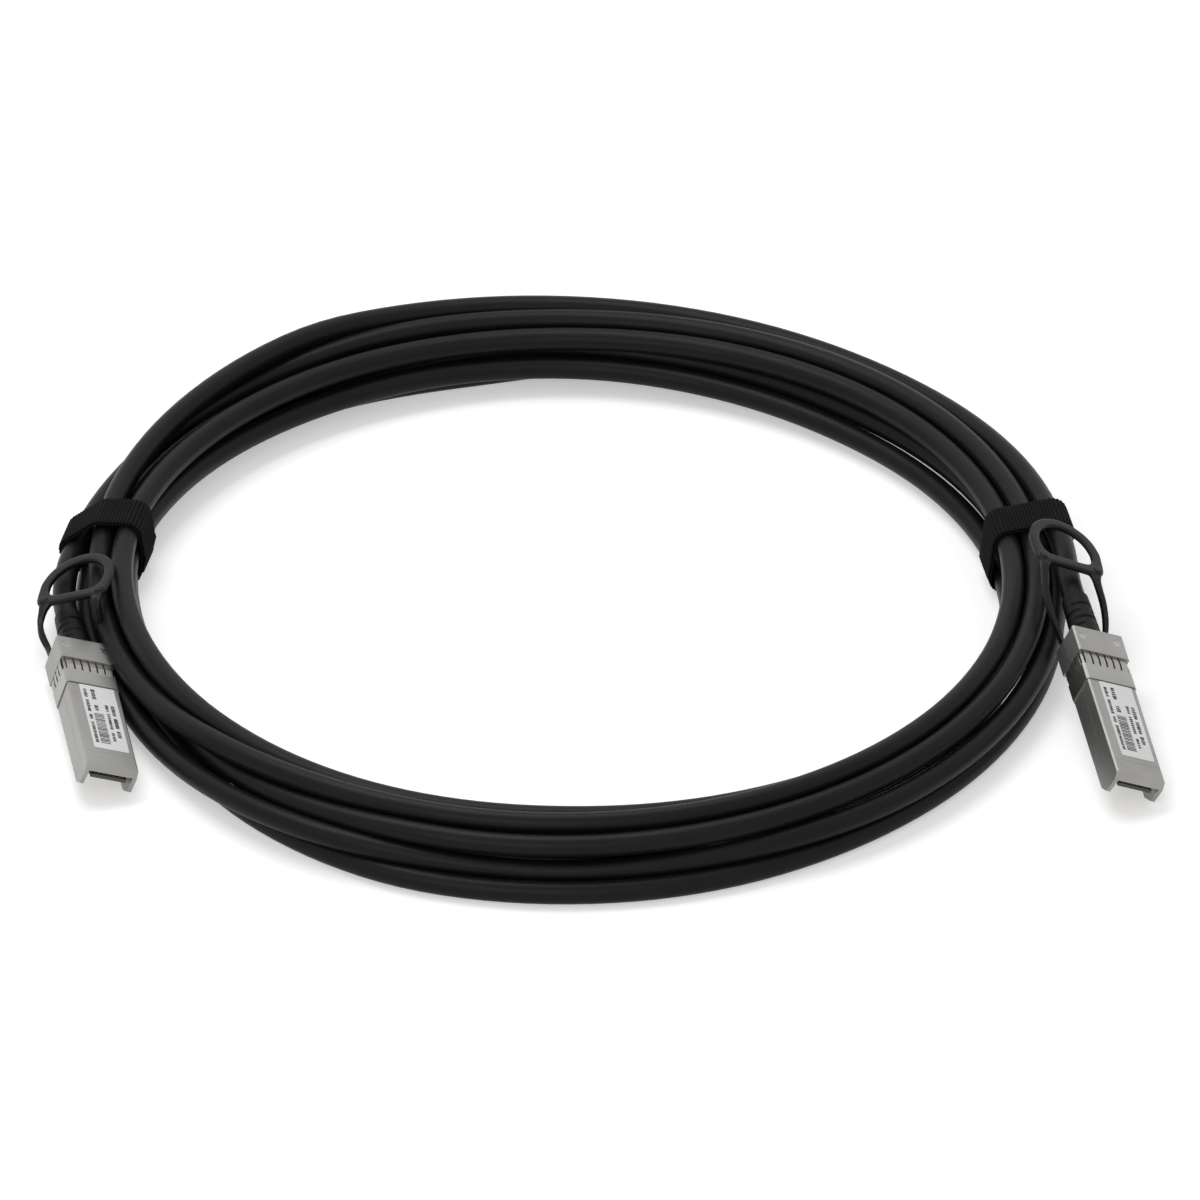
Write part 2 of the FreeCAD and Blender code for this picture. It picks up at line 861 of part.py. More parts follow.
def cable_coil(rooms):
    """The outer shape of the wound turns: full width, with a narrower bay beside each plug."""
    full = (
        (coil_inner_radius, coil_inner_radius + coil_width),
        (coil_low, coil_low + coil_height),
        coil_corner,
    )
    bay_heights = (coil_low, coil_low + bay_height)
    left_bay = ((coil_inner_radius, coil_inner_radius + left_bay_width), bay_heights, bay_corner)
    right_bay = ((coil_inner_radius, coil_inner_radius + right_bay_width), bay_heights, bay_corner)
    left_back = 180 - left_bay_back_angle
    left_front = 180 + bay_front_angle
    right_front = 360 - bay_front_angle
    right_back = 360 + right_bay_back_angle
    coil = fused(
        [
            ring_part(*full, right_bay_back_angle, left_back),
            ring_part(*left_bay, left_back, left_front),
            ring_part(*full, left_front, right_front),
            ring_part(*right_bay, right_front, right_back),
        ]
    )
    return coil.cut(rooms)


def strap(angle):
    """A hook-and-loop strap wrapped round the coil, its end lapped over the outside."""
    half_turn = math.degrees(strap_width / 2 / (coil_inner_radius + coil_width / 2))
    start, end = angle - half_turn, angle + half_turn

    def layer(offset):
        radii = (coil_inner_radius - offset, coil_inner_radius + coil_width + offset)
        heights = (coil_low - min(offset, coil_low), coil_low + coil_height + offset)
        return ring_part(radii, heights, coil_corner + offset * corner_growth, start, end)

    inside = layer(strap_gap)
    band = layer(strap_gap + strap_thickness).cut(inside)
    lap_layer = layer(strap_gap + 2 * strap_thickness).cut(inside)
    middle_radius = coil_inner_radius + coil_width / 2
    reach = middle_radius + coil_width
    floor = coil_centre + Z * strap_lap_height
    lap_zone = Part.makeCylinder(reach, 2 * coil_height, floor, Z)
    lap_zone = lap_zone.cut(Part.makeCylinder(middle_radius, 2 * coil_height, floor, Z))
    return fused([band, lap_layer.common(lap_zone)])


def tail_route(start, heading, angle, tangent, height):
    """The tail's points: straight out of the boot, then level into the coil's end face."""
    end = on_circle(tail_radius, angle, height)
    return [start, start + heading * tail_lead, end - tangent * tail_lead, end]


def tube(name, points):
    """A many-sided tube of straight runs joined by tangent arcs, as large as the runs allow."""
    edges = []
    length = 0.0
    here = points[0]
    for before, corner, after in zip(points, points[1:], points[2:]):
        run_in, run_out = corner - before, after - corner
        way_in = Vector(run_in).normalize()
        way_out = Vector(run_out).normalize()
        half_turn = way_in.getAngle(way_out) / 2
        reach = arc_share * min(run_in.Length, run_out.Length)
        radius = reach / math.tan(half_turn)
        arc_start, arc_end = corner - way_in * reach, corner + way_out * reach
        bisector = (way_out - way_in).normalize()
        to_centre = radius / math.cos(half_turn)
        arc_middle = corner + bisector * (to_centre - radius)
        edges.append(Part.LineSegment(here, arc_start).toShape())
        edges.append(Part.Arc(arc_start, arc_middle, arc_end).toShape())
        length += (arc_start - here).Length + 2 * half_turn * radius
        here = arc_end
        print(f"{name}: turn {math.degrees(2 * half_turn):.1f} deg, radius {radius:.1f} mm")
    edges.append(Part.LineSegment(here, points[-1]).toShape())
    length += (points[-1] - here).Length
    path = Part.Wire(edges)
    first_way = (points[1] - points[0]).normalize()
    across = first_way.cross(Z).normalize()
    section = round_outline(cable_radius, bar_sides, points[0], across, across.cross(first_way))
    solid = path.makePipeShell([section], True, True)
    expected = Part.Face(section).Area * length
    print(f"{name}: length {length:.1f} mm, volume {solid.Volume:.1f}, section x length {expected:.1f}")
    return solid


# ---- placing ----

def plug_placement(nose, turn, dip, roll):
    """The plug's place: rolled, dipped and turned, then set down with its lowest point on z 0."""
    rotation = Rotation(Z, turn) * Rotation(X, dip) * Rotation(Y, roll)
    lowest = 0.0
    for x, y, z in (
        (half_body, prong_setback, 0),
        (half_head, head_front, -head_drop),
        (half_head, plug_length, -head_drop),
    ):
        lowest = min(lowest, rotation.multVec(Vector(x, y, z)).z)
    return Placement(coil_centre + nose - Z * lowest, rotation)


def placed(shape, placement):
    """A copy of a plug piece at its place in the model."""
    copy = shape.copy()
    copy.Placement = placement.multiply(copy.Placement)
    return copy


def save(name, shape):
    """Writes one piece to its own file."""
    shape.exportStep(f"parts/{name}.step")


os.makedirs("parts", exist_ok=True)
plug_pieces = {
    "base_housing": base_housing(),
    "top_cover": top_cover(),
    "cover_screws": cover_screws(),
    "emi_collar": emi_collar(),
    "paddle_board": paddle_board(),
    "contact_pads": contact_pads(),
    "memory_chip": memory_chip(),
    "signal_wires": signal_wires(),
    "crimp_ferrule": crimp_ferrule(),
    "cable_end": cable_end(),
    "strain_relief": strain_relief(),
    "release_slider": release_slider(),
    "return_springs": return_springs(),
    "label": label(),
}
sides = (
    (
        "left",
        plug_placement(left_nose, left_turn, left_dip, left_roll),
        Rotation(Z, left_ring_turn) * Rotation(X, left_ring_rise) * Rotation(Y, left_ring_roll),
        left_ring_offset,
        180 - left_bay_back_angle,
        left_tail_height,
        1,
        180 - left_strap_angle,
    ),
    (
        "right",
        plug_placement(right_nose, right_turn, right_dip, right_roll),
        Rotation(Z, right_ring_turn) * Rotation(X, right_ring_rise) * Rotation(Y, right_ring_roll),
        right_ring_offset,
        right_bay_back_angle,
        right_tail_height,
        -1,
        right_strap_angle,
    ),
)
for side, placement, ring_turn, ring_offset, bay_angle, tail_height, winding, strap_angle in sides:
    for name, shape in plug_pieces.items():
        save(f"{side}_{name}", placed(shape, placement))
    rear = placement.multVec(Vector(0, plug_length, axis_height))
    ring_place = placement.inverse().multiply(Placement(rear + ring_offset, ring_turn))
    save(f"{side}_pull_tab", placed(pull_tab(ring_place), placement))
    save(f"{side}_strap", strap(strap_angle))
    angle = math.radians(bay_angle)
    tangent = Vector(math.sin(angle), -math.cos(angle), 0) * winding
    heading = placement.Rotation.multVec(Y)
    boot_mouth = placement.multVec(Vector(0, boot_end, axis_height))
    route = tail_route(boot_mouth, heading, bay_angle, tangent, tail_height)
    save(f"{side}_cable_tail", tube(f"{side}_cable_tail", route))
    print(side, "slide axis", heading, "route", route)
save("cable_coil", cable_coil([placed(plug_room(), side[1]) for side in sides]))
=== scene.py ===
# %% [markdown]
# # A direct attach copper cable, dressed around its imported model
#
# The real object is a short network lead that comes ready made: one black twinax cable with a
# metal plug on each end, wound into a flat coil and held by two hook-and-loop straps. The
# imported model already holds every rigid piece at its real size. This lesson adds what a maker
# would see and feel: the lay of the turns, the ribs of the straps, the grooves of the strain
# reliefs, the rounded finger rings, and the finish of every surface.
#
# Everything is in metres, and every shape that is new is a surface worked out with numpy.

import json
import math

import bmesh
import bpy
import numpy as np
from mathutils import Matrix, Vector

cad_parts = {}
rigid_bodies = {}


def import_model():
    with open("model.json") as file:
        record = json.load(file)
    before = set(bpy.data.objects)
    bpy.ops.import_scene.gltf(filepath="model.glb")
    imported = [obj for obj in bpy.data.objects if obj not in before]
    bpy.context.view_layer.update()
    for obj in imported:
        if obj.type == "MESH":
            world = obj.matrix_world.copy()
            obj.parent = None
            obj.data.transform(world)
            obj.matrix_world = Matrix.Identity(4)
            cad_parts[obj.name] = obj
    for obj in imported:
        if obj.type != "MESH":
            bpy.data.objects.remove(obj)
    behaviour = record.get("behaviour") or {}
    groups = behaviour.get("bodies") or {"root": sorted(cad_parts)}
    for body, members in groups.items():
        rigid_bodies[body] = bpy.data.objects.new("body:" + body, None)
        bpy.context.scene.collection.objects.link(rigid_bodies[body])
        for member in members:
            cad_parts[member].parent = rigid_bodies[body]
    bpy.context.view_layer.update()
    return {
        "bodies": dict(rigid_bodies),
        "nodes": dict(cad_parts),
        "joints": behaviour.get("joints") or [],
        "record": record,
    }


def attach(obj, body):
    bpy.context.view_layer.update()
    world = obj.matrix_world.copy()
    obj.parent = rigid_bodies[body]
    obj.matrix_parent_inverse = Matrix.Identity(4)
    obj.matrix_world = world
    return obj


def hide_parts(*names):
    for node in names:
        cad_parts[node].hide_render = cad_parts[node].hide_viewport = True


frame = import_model()
mm = 0.001


def add_object(name, data):
    """A new object with this data, linked to the scene at its origin."""
    piece = bpy.data.objects.new(name, data)
    bpy.context.scene.collection.objects.link(piece)
    return piece


def mesh_points(mesh):
    """The points of a mesh as an array with one row for each."""
    points = np.empty(3 * len(mesh.vertices))
    mesh.vertices.foreach_get("co", points)
    return points.reshape(-1, 3)


# %% [markdown]
# ## The camera
#
# A long lens from far away keeps the two plugs at one scale, as in a catalogue picture. The
# camera looks along +Y and down at the coil, at a point a little behind and to the right of
# the coil's middle. The distance is chosen first, and the lens follows from the width that the
# frame takes in at that distance.

# %% Camera
coil_centre = np.array([-7.6, 24.3, 0.0]) * mm
view_aim = np.array([1.15, 37.2, 0.0]) * mm
view_elevation = math.radians(33.5)
view_distance = 12.0
view_width = 0.300
view_reach = 50.0
sensor_width = 36.0

camera_data = bpy.data.cameras.new("camera")
camera_data.sensor_width = sensor_width
camera_data.lens = sensor_width * view_distance / view_width
camera_data.clip_end = view_reach
camera = add_object("camera", camera_data)
back = np.array([0.0, -math.cos(view_elevation), math.sin(view_elevation)])
camera.location = view_aim + back * view_distance
camera.rotation_euler = (math.pi / 2 - view_elevation, 0.0, 0.0)
bpy.context.scene.camera = camera
print("lens:", round(camera_data.lens, 1), "mm")

# %% [markdown]
# ## Where the plugs lie
#
# Each plug lies turned, dipped and rolled beside the coil. Its rating label is a thin plate
# whose three sides have very different lengths, so the label's own corners give the plug's
# three directions: the longest side runs along the plug, the next one across it, and the
# thickness points out of its top. The label's known place on the plug then gives the plug's
# own origin, at the middle of the nose on the underside.

# %% Plug frames
label_width = 9.2 * mm
label_length = 28.4 * mm
label_thickness = 0.1 * mm
label_middle = np.array([0.7, 22.1, 8.55]) * mm
axis_height = 4.4 * mm
plug_length = 56.0 * mm


class OwnFrame:
    """A piece's own origin and directions; turn holds the three directions as its rows."""

    def place(self, local):
        """Points of the own frame, put into the model's frame."""
        return np.asarray(local) @ self.turn + self.origin

    def local(self, points):
        """Points of the model's frame, as the own frame sees them."""
        return (np.asarray(points) - self.origin) @ self.turn.T


class PlugFrame(OwnFrame):
    """One plug's origin and directions: x across, y from the nose back, z out of its top."""

    def __init__(self, side):
        points = mesh_points(frame["nodes"][f"{side}_label"].data)
        middle = (points.min(axis=0) + points.max(axis=0)) / 2
        _, ways = np.linalg.eigh(np.cov((points - middle).T))
        self.z = ways[:, 0] * np.sign(ways[2, 0])
        self.y = ways[:, 2] * np.sign(ways[1, 2])
        self.x = np.cross(self.y, self.z)
        self.turn = np.array([self.x, self.y, self.z])
        self.origin = points.mean(axis=0) - label_middle @ self.turn


plugs = {side: PlugFrame(side) for side in ("left", "right")}
for side, plug in plugs.items():
    print(side, "plug origin (mm):", np.round(plug.origin / mm, 2), "along:", np.round(plug.y, 4))

# %% [markdown]
# ## The lay of the turns
#
# The cable is one piece, 4.8 metres long. It leaves the left strain relief, runs
# clockwise round the coil six times and a bit, and comes back into the right strain relief.
# A hand-wound coil is never even: where the straps hold it, the turns pack together, and
# between them they fan out, climb over one another and dive below. So the lay is written down
# as a table: at twelve places round the coil, the distance from the middle and the height of
# each pass of the cable, in the order in which the cable comes by. Read down a column, the table
# follows the cable once round the coil, and the next column is its next pass.
#
# Between the places a loop fills in a point every ten degrees, and then the turns settle:
# any two that come closer than a diameter push each other away, the floor and the plugs push
# back, and a little smoothing keeps the bends gentle.

# %% Table of the lay
cable_diameter = 5.8 * mm
cable_radius = cable_diameter / 2
lay_table = {
    167: [(124.8, 7.6), (111.1, 8.9), (113.6, 3.7), (116.8, 8.8), (119.4, 3.7), (111.5, 14.5),
        (117.7, 14.4)],
    130: [(122.1, 10.7), (110.1, 6.8), (114.9, 4.8), (116.6, 10.9), (120.8, 3.7), (111.2, 14.6),
        (122.8, 17.3)],
    110: [(119.3, 15.0), (110.0, 6.4), (112.5, 5.0), (120.5, 10.3), (118.1, 3.4), (111.8, 13.6),
        (123.6, 15.9)],
    90: [(117.0, 15.0), (109.0, 7.0), (117.6, 3.4), (120.3, 9.4), (114.4, 8.6), (111.0, 13.5),
        (123.0, 15.3)],
    50: [(119.2, 14.8), (107.6, 4.2), (120.5, 3.0), (118.6, 8.4), (112.2, 7.6), (113.0, 13.8),
        (124.6, 11.8)],
    11: [(117.9, 15.4), (111.4, 4.0), (122.5, 4.0), (123.3, 9.6), (115.6, 9.2), (111.8, 14.6),
        (124.9, 15.4)],
    -20: [(118.3, 13.8), (112.6, 3.3), (121.5, 3.0), (122.0, 9.0), (112.4, 9.0), (112.4, 14.6)],
    -55: [(117.3, 13.4), (113.2, 5.4), (120.9, 3.0), (122.4, 8.9), (106.5, 12.0), (111.4, 15.4)],
    -90: [(117.0, 12.7), (111.0, 8.2), (123.0, 3.0), (117.0, 4.0), (105.0, 14.0), (111.0, 15.7)],
    -125: [(117.3, 11.6), (112.3, 8.6), (120.6, 2.9), (121.8, 7.9), (106.8, 13.8), (112.6, 15.2)],
    -160: [(105.8, 8.2), (102.6, 2.9), (108.2, 2.9), (113.9, 2.9), (108.6, 13.9), (111.7, 8.0)],
    -175: [(109.9, 8.6), (106.8, 3.0), (112.4, 2.9), (118.2, 2.9), (110.4, 14.4), (115.8, 8.1)],
}
turn_step = 10
points_per_turn = 360 // turn_step
first_angle, last_angle = 160, 20 - 6 * 360
passes = 7

stops = []
for turn in range(passes):
    for angle, places in lay_table.items():
        if turn < len(places):
            stops.append((angle - 360 * turn, *places[turn]))
stops = np.array(sorted(stops))
lay_angle = np.arange(first_angle, last_angle - 1, -turn_step, dtype=float)
lay_radius = np.interp(lay_angle, stops[:, 0], stops[:, 1]) * mm
lay_height = np.interp(lay_angle, stops[:, 0], stops[:, 2]) * mm
print("points in the turns:", len(lay_angle))

# %% [markdown]
# ### Letting the turns settle
#
# All passes cross the same ray from the middle every ten degrees, so passes that meet there
# are a whole number of turns apart in the list. Each round of settling compares every point
# with the points one to six turns further on, moves each of the two by half of what is missing,
# and draws each point a little towards the mean of its neighbours along the cable.

# %% Settle the turns
clearance = 1.01
settle_rounds = 260
smooth_share = 0.10
stay_share = 0.05
strap_angles = {"left": 167.0, "right": 11.0}
strap_hold = 7.0
strap_floor = 0.8 * mm
strap_floor_reach = 1.4
least_apart = 0.1 * mm
held_radius = (111.1 * mm, 124.9 * mm)
held_tops = {"left": 14.5 * mm, "right": 16.0 * mm}
plug_half_width = 7.1 * mm
plug_reach = (-3.0 * mm, 57.0 * mm)
plug_heights = (-0.3 * mm, 12.0 * mm)
plug_gap = 0.35 * mm
boot_radius = 3.9 * mm
boot_length = 17.0 * mm
plug_side = {"left": 1, "right": -1}


def on_coil(angle, radius, height):
    """Points of the coil: angle in degrees anticlockwise from +X, radius and height in metres."""
    turn = np.radians(angle)
    level = height + np.zeros_like(turn)
    return coil_centre + np.stack([np.cos(turn) * radius, np.sin(turn) * radius, level], axis=-1)


def push_apart(radius, height):
    """Moves passes that share a ray away from each other to one diameter, half each."""
    wanted = cable_diameter * clearance
    for turns in range(1, passes):
        lag = turns * points_per_turn
        if lag >= len(radius):
            break
        across = radius[lag:] - radius[:-lag]
        up = height[lag:] - height[:-lag]
        apart = np.maximum(np.hypot(across, up), least_apart)
        push = np.maximum(wanted - apart, 0.0) / 2 / apart
        radius[:-lag] -= across * push
        height[:-lag] -= up * push
        radius[lag:] += across * push
        height[lag:] += up * push


def keep_off_plug(side, radius, height):
    """Draws in the turns that would run into a plug or its strain relief."""
    plug = plugs[side]
    seen = plug.local(on_coil(lay_angle, radius, height))
    beside = (seen[:, 1] > plug_reach[0]) & (seen[:, 1] < plug_reach[1])
    level = seen[:, 2] > plug_heights[0] - cable_radius
    level &= seen[:, 2] < plug_heights[1] + cable_radius
    room = plug_half_width + cable_radius + plug_gap - seen[:, 0] * plug_side[side]
    radius -= np.where(beside & level & (room > 0), room, 0.0)
    behind = (seen[:, 1] >= plug_reach[1]) & (seen[:, 1] < plug_reach[1] + boot_length)
    off_axis = np.hypot(seen[:, 0], seen[:, 2] - axis_height)
    short = np.maximum(boot_radius + cable_radius + plug_gap - off_axis, 0.0)
    radius -= np.where(behind, short, 0.0)


def keep_in_straps(radius, height):
    """Holds the turns inside the straps and on the floor."""
    floor = np.full_like(height, cable_radius)
    for side, angle in strap_angles.items():
        away = np.abs((lay_angle - angle + 180) % 360 - 180)
        held = away < strap_hold
        radius[held] = np.clip(radius[held], *held_radius)
        height[held] = np.minimum(height[held], held_tops[side])
        floor += strap_floor * np.clip(strap_floor_reach - away / (2 * strap_hold), 0.0, 1.0)
    np.maximum(height, floor, out=height)


wanted_radius, wanted_height = lay_radius.copy(), lay_height.copy()
for _ in range(settle_rounds):
    for line, wanted in ((lay_radius, wanted_radius), (lay_height, wanted_height)):
        line[1:-1] += smooth_share * ((line[:-2] + line[2:]) / 2 - line[1:-1])
        line += stay_share * (wanted - line)
    push_apart(lay_radius, lay_height)
    for side in plugs:
        keep_off_plug(side, lay_radius, lay_height)
    keep_in_straps(lay_radius, lay_height)

closest = min(
    np.hypot(lay_radius[lag:] - lay_radius[:-lag], lay_height[lag:] - lay_height[:-lag]).min()
    for lag in range(points_per_turn, len(lay_radius), points_per_turn)
)
print("closest two passes (mm):", round(closest / mm, 2))
print("radii (mm):", round(lay_radius.min() / mm, 1), "to", round(lay_radius.max() / mm, 1))
print("top of the turns (mm):", round((lay_height.max() + cable_radius) / mm, 1))

# %% [markdown]
# ### One spline from plug to plug
#
# The cord is one open NURBS curve. Its first points lie on the plug's axis, inside the head and
# out through the strain relief. Then come the tail's points, the same as in the solid model,
# then all the turns, and the same again backwards into the other plug. A spline of order 3
# stays inside its control points, so the turns are drawn a third of a percent larger to end up
# where they are wanted.

# %% Cable
cable_end_front = 48.3 * mm
spline_swell = 1.0032
tails = {
    "left": [(-132.8971, 26.8749, 6.9047), (-132.2886, 36.5475, 8.2), (-130.8857, 44.9310, 8.2)],
    "right": [(117.9488, 21.2233, 16.8070), (117.3665, 33.2794, 15.9), (116.1835, 41.6966, 15.9)],
}


def plug_end_points(side):
    """The cable's straight start in the head and strain relief, then its tail's points."""
    along = np.array([cable_end_front, plug_length + boot_length / 3, plug_length + boot_length])
    axis = plugs[side].place([(0.0, y, axis_height) for y in along])
    return np.vstack([axis, np.array(tails[side]) * mm])


turns = on_coil(lay_angle, lay_radius * spline_swell, lay_height)
route = np.vstack([plug_end_points("left"), turns, plug_end_points("right")[::-1]])


def spline_curve(name, points, radius):
    """One open NURBS spline whose round section is a circle of size 1 times the point's radius."""
    data = bpy.data.curves.new(name, "CURVE")
    data.dimensions = "3D"
    spline = data.splines.new("NURBS")
    spline.points.add(len(points) - 1)
    flat = np.hstack([points, np.ones((len(points), 1))])
    spline.points.foreach_set("co", flat.ravel())
    spline.points.foreach_set("radius", np.full(len(points), radius))
    spline.order_u = 3
    spline.use_endpoint_u = True
    spline.use_smooth = True
    data.resolution_u = 4
    data.bevel_depth = 1.0
    data.bevel_resolution = 8
    data.use_fill_caps = True
    return add_object(name, data)


cable = spline_curve("twinax_cable", route, cable_radius)
cable_length = float(np.linalg.norm(np.diff(route, axis=0), axis=1).sum())
print("points:", len(route), "length along the points (m):", round(cable_length, 3))

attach(cable, "root")
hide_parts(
    "cable_coil", "left_cable_tail", "right_cable_tail", "left_cable_end", "right_cable_end"
)
exit_local = (0.0, plug_length + boot_length, axis_height)
exit_place = tuple(float(v) for v in plugs["left"].place(exit_local))

# %% [markdown]
# ## Surfaces worked out as arrays
#
# Every new piece below is a grid of points: rows of rings. Either the last row joins the first,
# or one flat face closes each end. One helper turns points and faces into an object, and makes
# sure that the faces point outwards: the volume under a closed surface, summed over its faces,
# is positive only then.

# %% Grid helpers
def grid_faces(rows, columns, rows_close=False, first=0):
    """Quads of a grid of points written row by row; each row is a ring of columns points."""
    row, column = np.meshgrid(
        np.arange(rows if rows_close else rows - 1), np.arange(columns), indexing="ij"
    )
    next_row, next_column = (row + 1) % rows, (column + 1) % columns
    corners = [(row, column), (row, next_column), (next_row, next_column), (next_row, column)]
    quads = np.stack([r * columns + c for r, c in corners], axis=-1).reshape(-1, 4)
    return (quads + first).tolist()


def capped_faces(rows, columns, first=0):
    """The quads of a grid whose rows stay open, and one flat face at each end."""
    last = first + (rows - 1) * columns
    caps = [list(range(first + columns - 1, first - 1, -1)), list(range(last, last + columns))]
    return grid_faces(rows, columns, first=first) + caps


def signed_volume(points, faces):
    """One sixth of the sum of a . (b x c) over the faces cut into triangles."""
    fans = np.array([(face[0], b, c) for face in faces for b, c in zip(face[1:], face[2:])])
    a, b, c = points[fans[:, 0]], points[fans[:, 1]], points[fans[:, 2]]
    return float(np.einsum("ij,ij->i", a, np.cross(b, c)).sum()) / 6


def mesh_piece(name, points, faces, material, smooth=True):
    """A mesh object with outward faces and one material, linked to the scene."""
    points = np.asarray(points, dtype=float).reshape(-1, 3)
    if signed_volume(points, faces) < 0:
        faces = [face[::-1] for face in faces]
    mesh = bpy.data.meshes.new(name)
    mesh.from_pydata(points.tolist(), [], faces)
    mesh.polygons.foreach_set("use_smooth", np.full(len(faces), smooth))
    mesh.materials.append(material)
    mesh.update()
    return add_object(name, mesh)


def round_square(count, power=4.0):
    """Points (a, b) once round a square with soft corners: |a|^p + |b|^p = 1, from -1 to 1."""
    turn = np.linspace(0, 2 * np.pi, count, endpoint=False)
    a, b = np.cos(turn), np.sin(turn)
    size = (np.abs(a) ** power + np.abs(b) ** power) ** (-1 / power)
    return a * size, b * size


def smooth_step(value):
    """0 below 0, 1 above 1 and 3v^2 - 2v^3 between."""
    share = np.clip(value, 0.0, 1.0)
    return share * share * (3 - 2 * share)


print("a soft square's corner reaches", round(float(np.add(*round_square(64)).max()) / 2, 2))

# %% [markdown]
# ## Effects that several finishes share
#
# Three small effects make a surface look made rather than drawn: a fine grain that breaks up
# the gloss, a slow drift of tone over centimetres, and a paler wear where edges stand proud.
# Each is a node group built once, with named inputs, and it puts out only a mask between 0 and
# 1. The shader itself stays in each material.

# %% Effect groups
def add_node(tree, kind, **values):
    """A new shader node of this kind; values sets its inputs by their names."""
    node = tree.nodes.new(f"ShaderNode{kind}")
    for label, value in values.items():
        node.inputs[label.replace("_", " ")].default_value = value
    return node


def effect_group(name, inputs, output):
    """A shader node group with float inputs (name, value) and one float output."""
    group = bpy.data.node_groups.new(name, "ShaderNodeTree")
    for label, value in inputs:
        socket = group.interface.new_socket(label, in_out="INPUT", socket_type="NodeSocketFloat")
        socket.default_value = value
    group.interface.new_socket(output, in_out="OUTPUT", socket_type="NodeSocketFloat")
    return group, group.nodes.new("NodeGroupInput"), group.nodes.new("NodeGroupOutput")


def piece_noise(group, start):
    """A noise node in the piece's own metres, with the group's own Scale."""
    place, noise = add_node(group, "TexCoord"), add_node(group, "TexNoise")
    group.links.new(place.outputs["Object"], noise.inputs["Vector"])
    group.links.new(start.outputs["Scale"], noise.inputs["Scale"])
    return noise


def noise_mask(name, scale, detail, low, high):
    """Noise spread so that low becomes 0 and high becomes 1."""
    group, start, end = effect_group(name, [("Scale", scale), ("Detail", detail)], "Mask")
    noise = piece_noise(group, start)
    widen = add_node(group, "MapRange", From_Min=low, From_Max=high)
    group.links.new(start.outputs["Detail"], noise.inputs["Detail"])
    group.links.new(noise.outputs[0], widen.inputs["Value"])
    group.links.new(widen.outputs[0], end.inputs["Mask"])
    return group


def edge_mask():
    """Where the surface is a sharp ridge, broken up by noise."""
    group, start, end = effect_group("edge_wear", [("Sharpness", 0.56), ("Scale", 900.0)], "Mask")
    shape = add_node(group, "NewGeometry")
    noise = piece_noise(group, start)
    ridge = add_node(group, "MapRange", From_Max=0.75)
    both = add_node(group, "Math")
    both.operation = "MULTIPLY"
    group.links.new(shape.outputs["Pointiness"], ridge.inputs["Value"])
    group.links.new(start.outputs["Sharpness"], ridge.inputs["From Min"])
    group.links.new(ridge.outputs[0], both.inputs[0])
    group.links.new(noise.outputs[0], both.inputs[1])
    group.links.new(both.outputs[0], end.inputs["Mask"])
    return group


grain_group = noise_mask("fine_grain", 4000.0, 3.0, 0.3, 0.7)
drift_group = noise_mask("slow_drift", 60.0, 2.0, 0.35, 0.65)
wear_group = edge_mask()
print("effects:", [group.name for group in bpy.data.node_groups])

# %% [markdown]
# ## One recipe for every finish
#
# A finish is a Principled shader fed by the shared effects: the drift moves the colour between
# two close tones, the wear adds a third, the grain moves the roughness a little and gives the
# surface its bump. Values that are the same all over, such as the metallic share, are set on the
# shader's own sockets.

# %% Finish recipe
def node_tree(owner):
    """An empty node tree of a material or the world, with its output node."""
    owner.use_nodes = True
    owner.node_tree.nodes.clear()
    kind = "World" if isinstance(owner, bpy.types.World) else "Material"
    return owner.node_tree, add_node(owner.node_tree, f"Output{kind}")


def add_group(tree, group, **values):
    """A shared effect placed in a tree, with its own values."""
    node = add_node(tree, "Group")
    node.node_tree = group
    for label, value in values.items():
        node.inputs[label].default_value = value
    return node.outputs[0]


def mix_color(tree, share, first, second):
    """A colour between two; each may be a socket or a plain colour."""
    mix = add_node(tree, "Mix")
    mix.data_type = "RGBA"
    tree.links.new(share, mix.inputs[0])
    for socket, color in ((mix.inputs[6], first), (mix.inputs[7], second)):
        if isinstance(color, tuple):
            socket.default_value = (*color, 1.0)
        else:
            tree.links.new(color, socket)
    return mix.outputs[2]


def spread(tree, share, low, high):
    """A number between low and high."""
    scale = add_node(tree, "MapRange", To_Min=low, To_Max=high)
    tree.links.new(share, scale.inputs["Value"])
    return scale.outputs[0]


def finish(
    name, tones, roughness, grain=(4000.0, 0.02), bump=0.15, wear=None, valley_shade=None, **plain
):
    """A material: two tones, (least, most) roughness, grain (scale, depth in mm), wear tone.

    The valley tone is painted shade, shown where the surface's own "rib" value is 0. At 1 the other
    tones show.
    """
    material = bpy.data.materials.new(name)
    tree, output = node_tree(material)
    shader = add_node(tree, "BsdfPrincipled", **plain)
    drift = add_group(tree, drift_group)
    fine = add_group(tree, grain_group, Scale=grain[0])
    color = mix_color(tree, drift, *tones)
    if wear:
        color = mix_color(tree, add_group(tree, wear_group), color, wear)
    # Painted shade: where the rib value is 0 the colour goes to the dark valley tone.
    if valley_shade:
        ridge = add_node(tree, "Attribute")
        ridge.attribute_name = "rib"
        color = mix_color(tree, ridge.outputs["Fac"], valley_shade, color)
    tree.links.new(color, shader.inputs["Base Color"])
    tree.links.new(spread(tree, fine, *roughness), shader.inputs["Roughness"])
    relief = add_node(tree, "Bump", Strength=bump, Distance=grain[1] * mm)
    tree.links.new(fine, relief.inputs["Height"])
    tree.links.new(relief.outputs[0], shader.inputs["Normal"])
    tree.links.new(shader.outputs[0], output.inputs["Surface"])
    return material


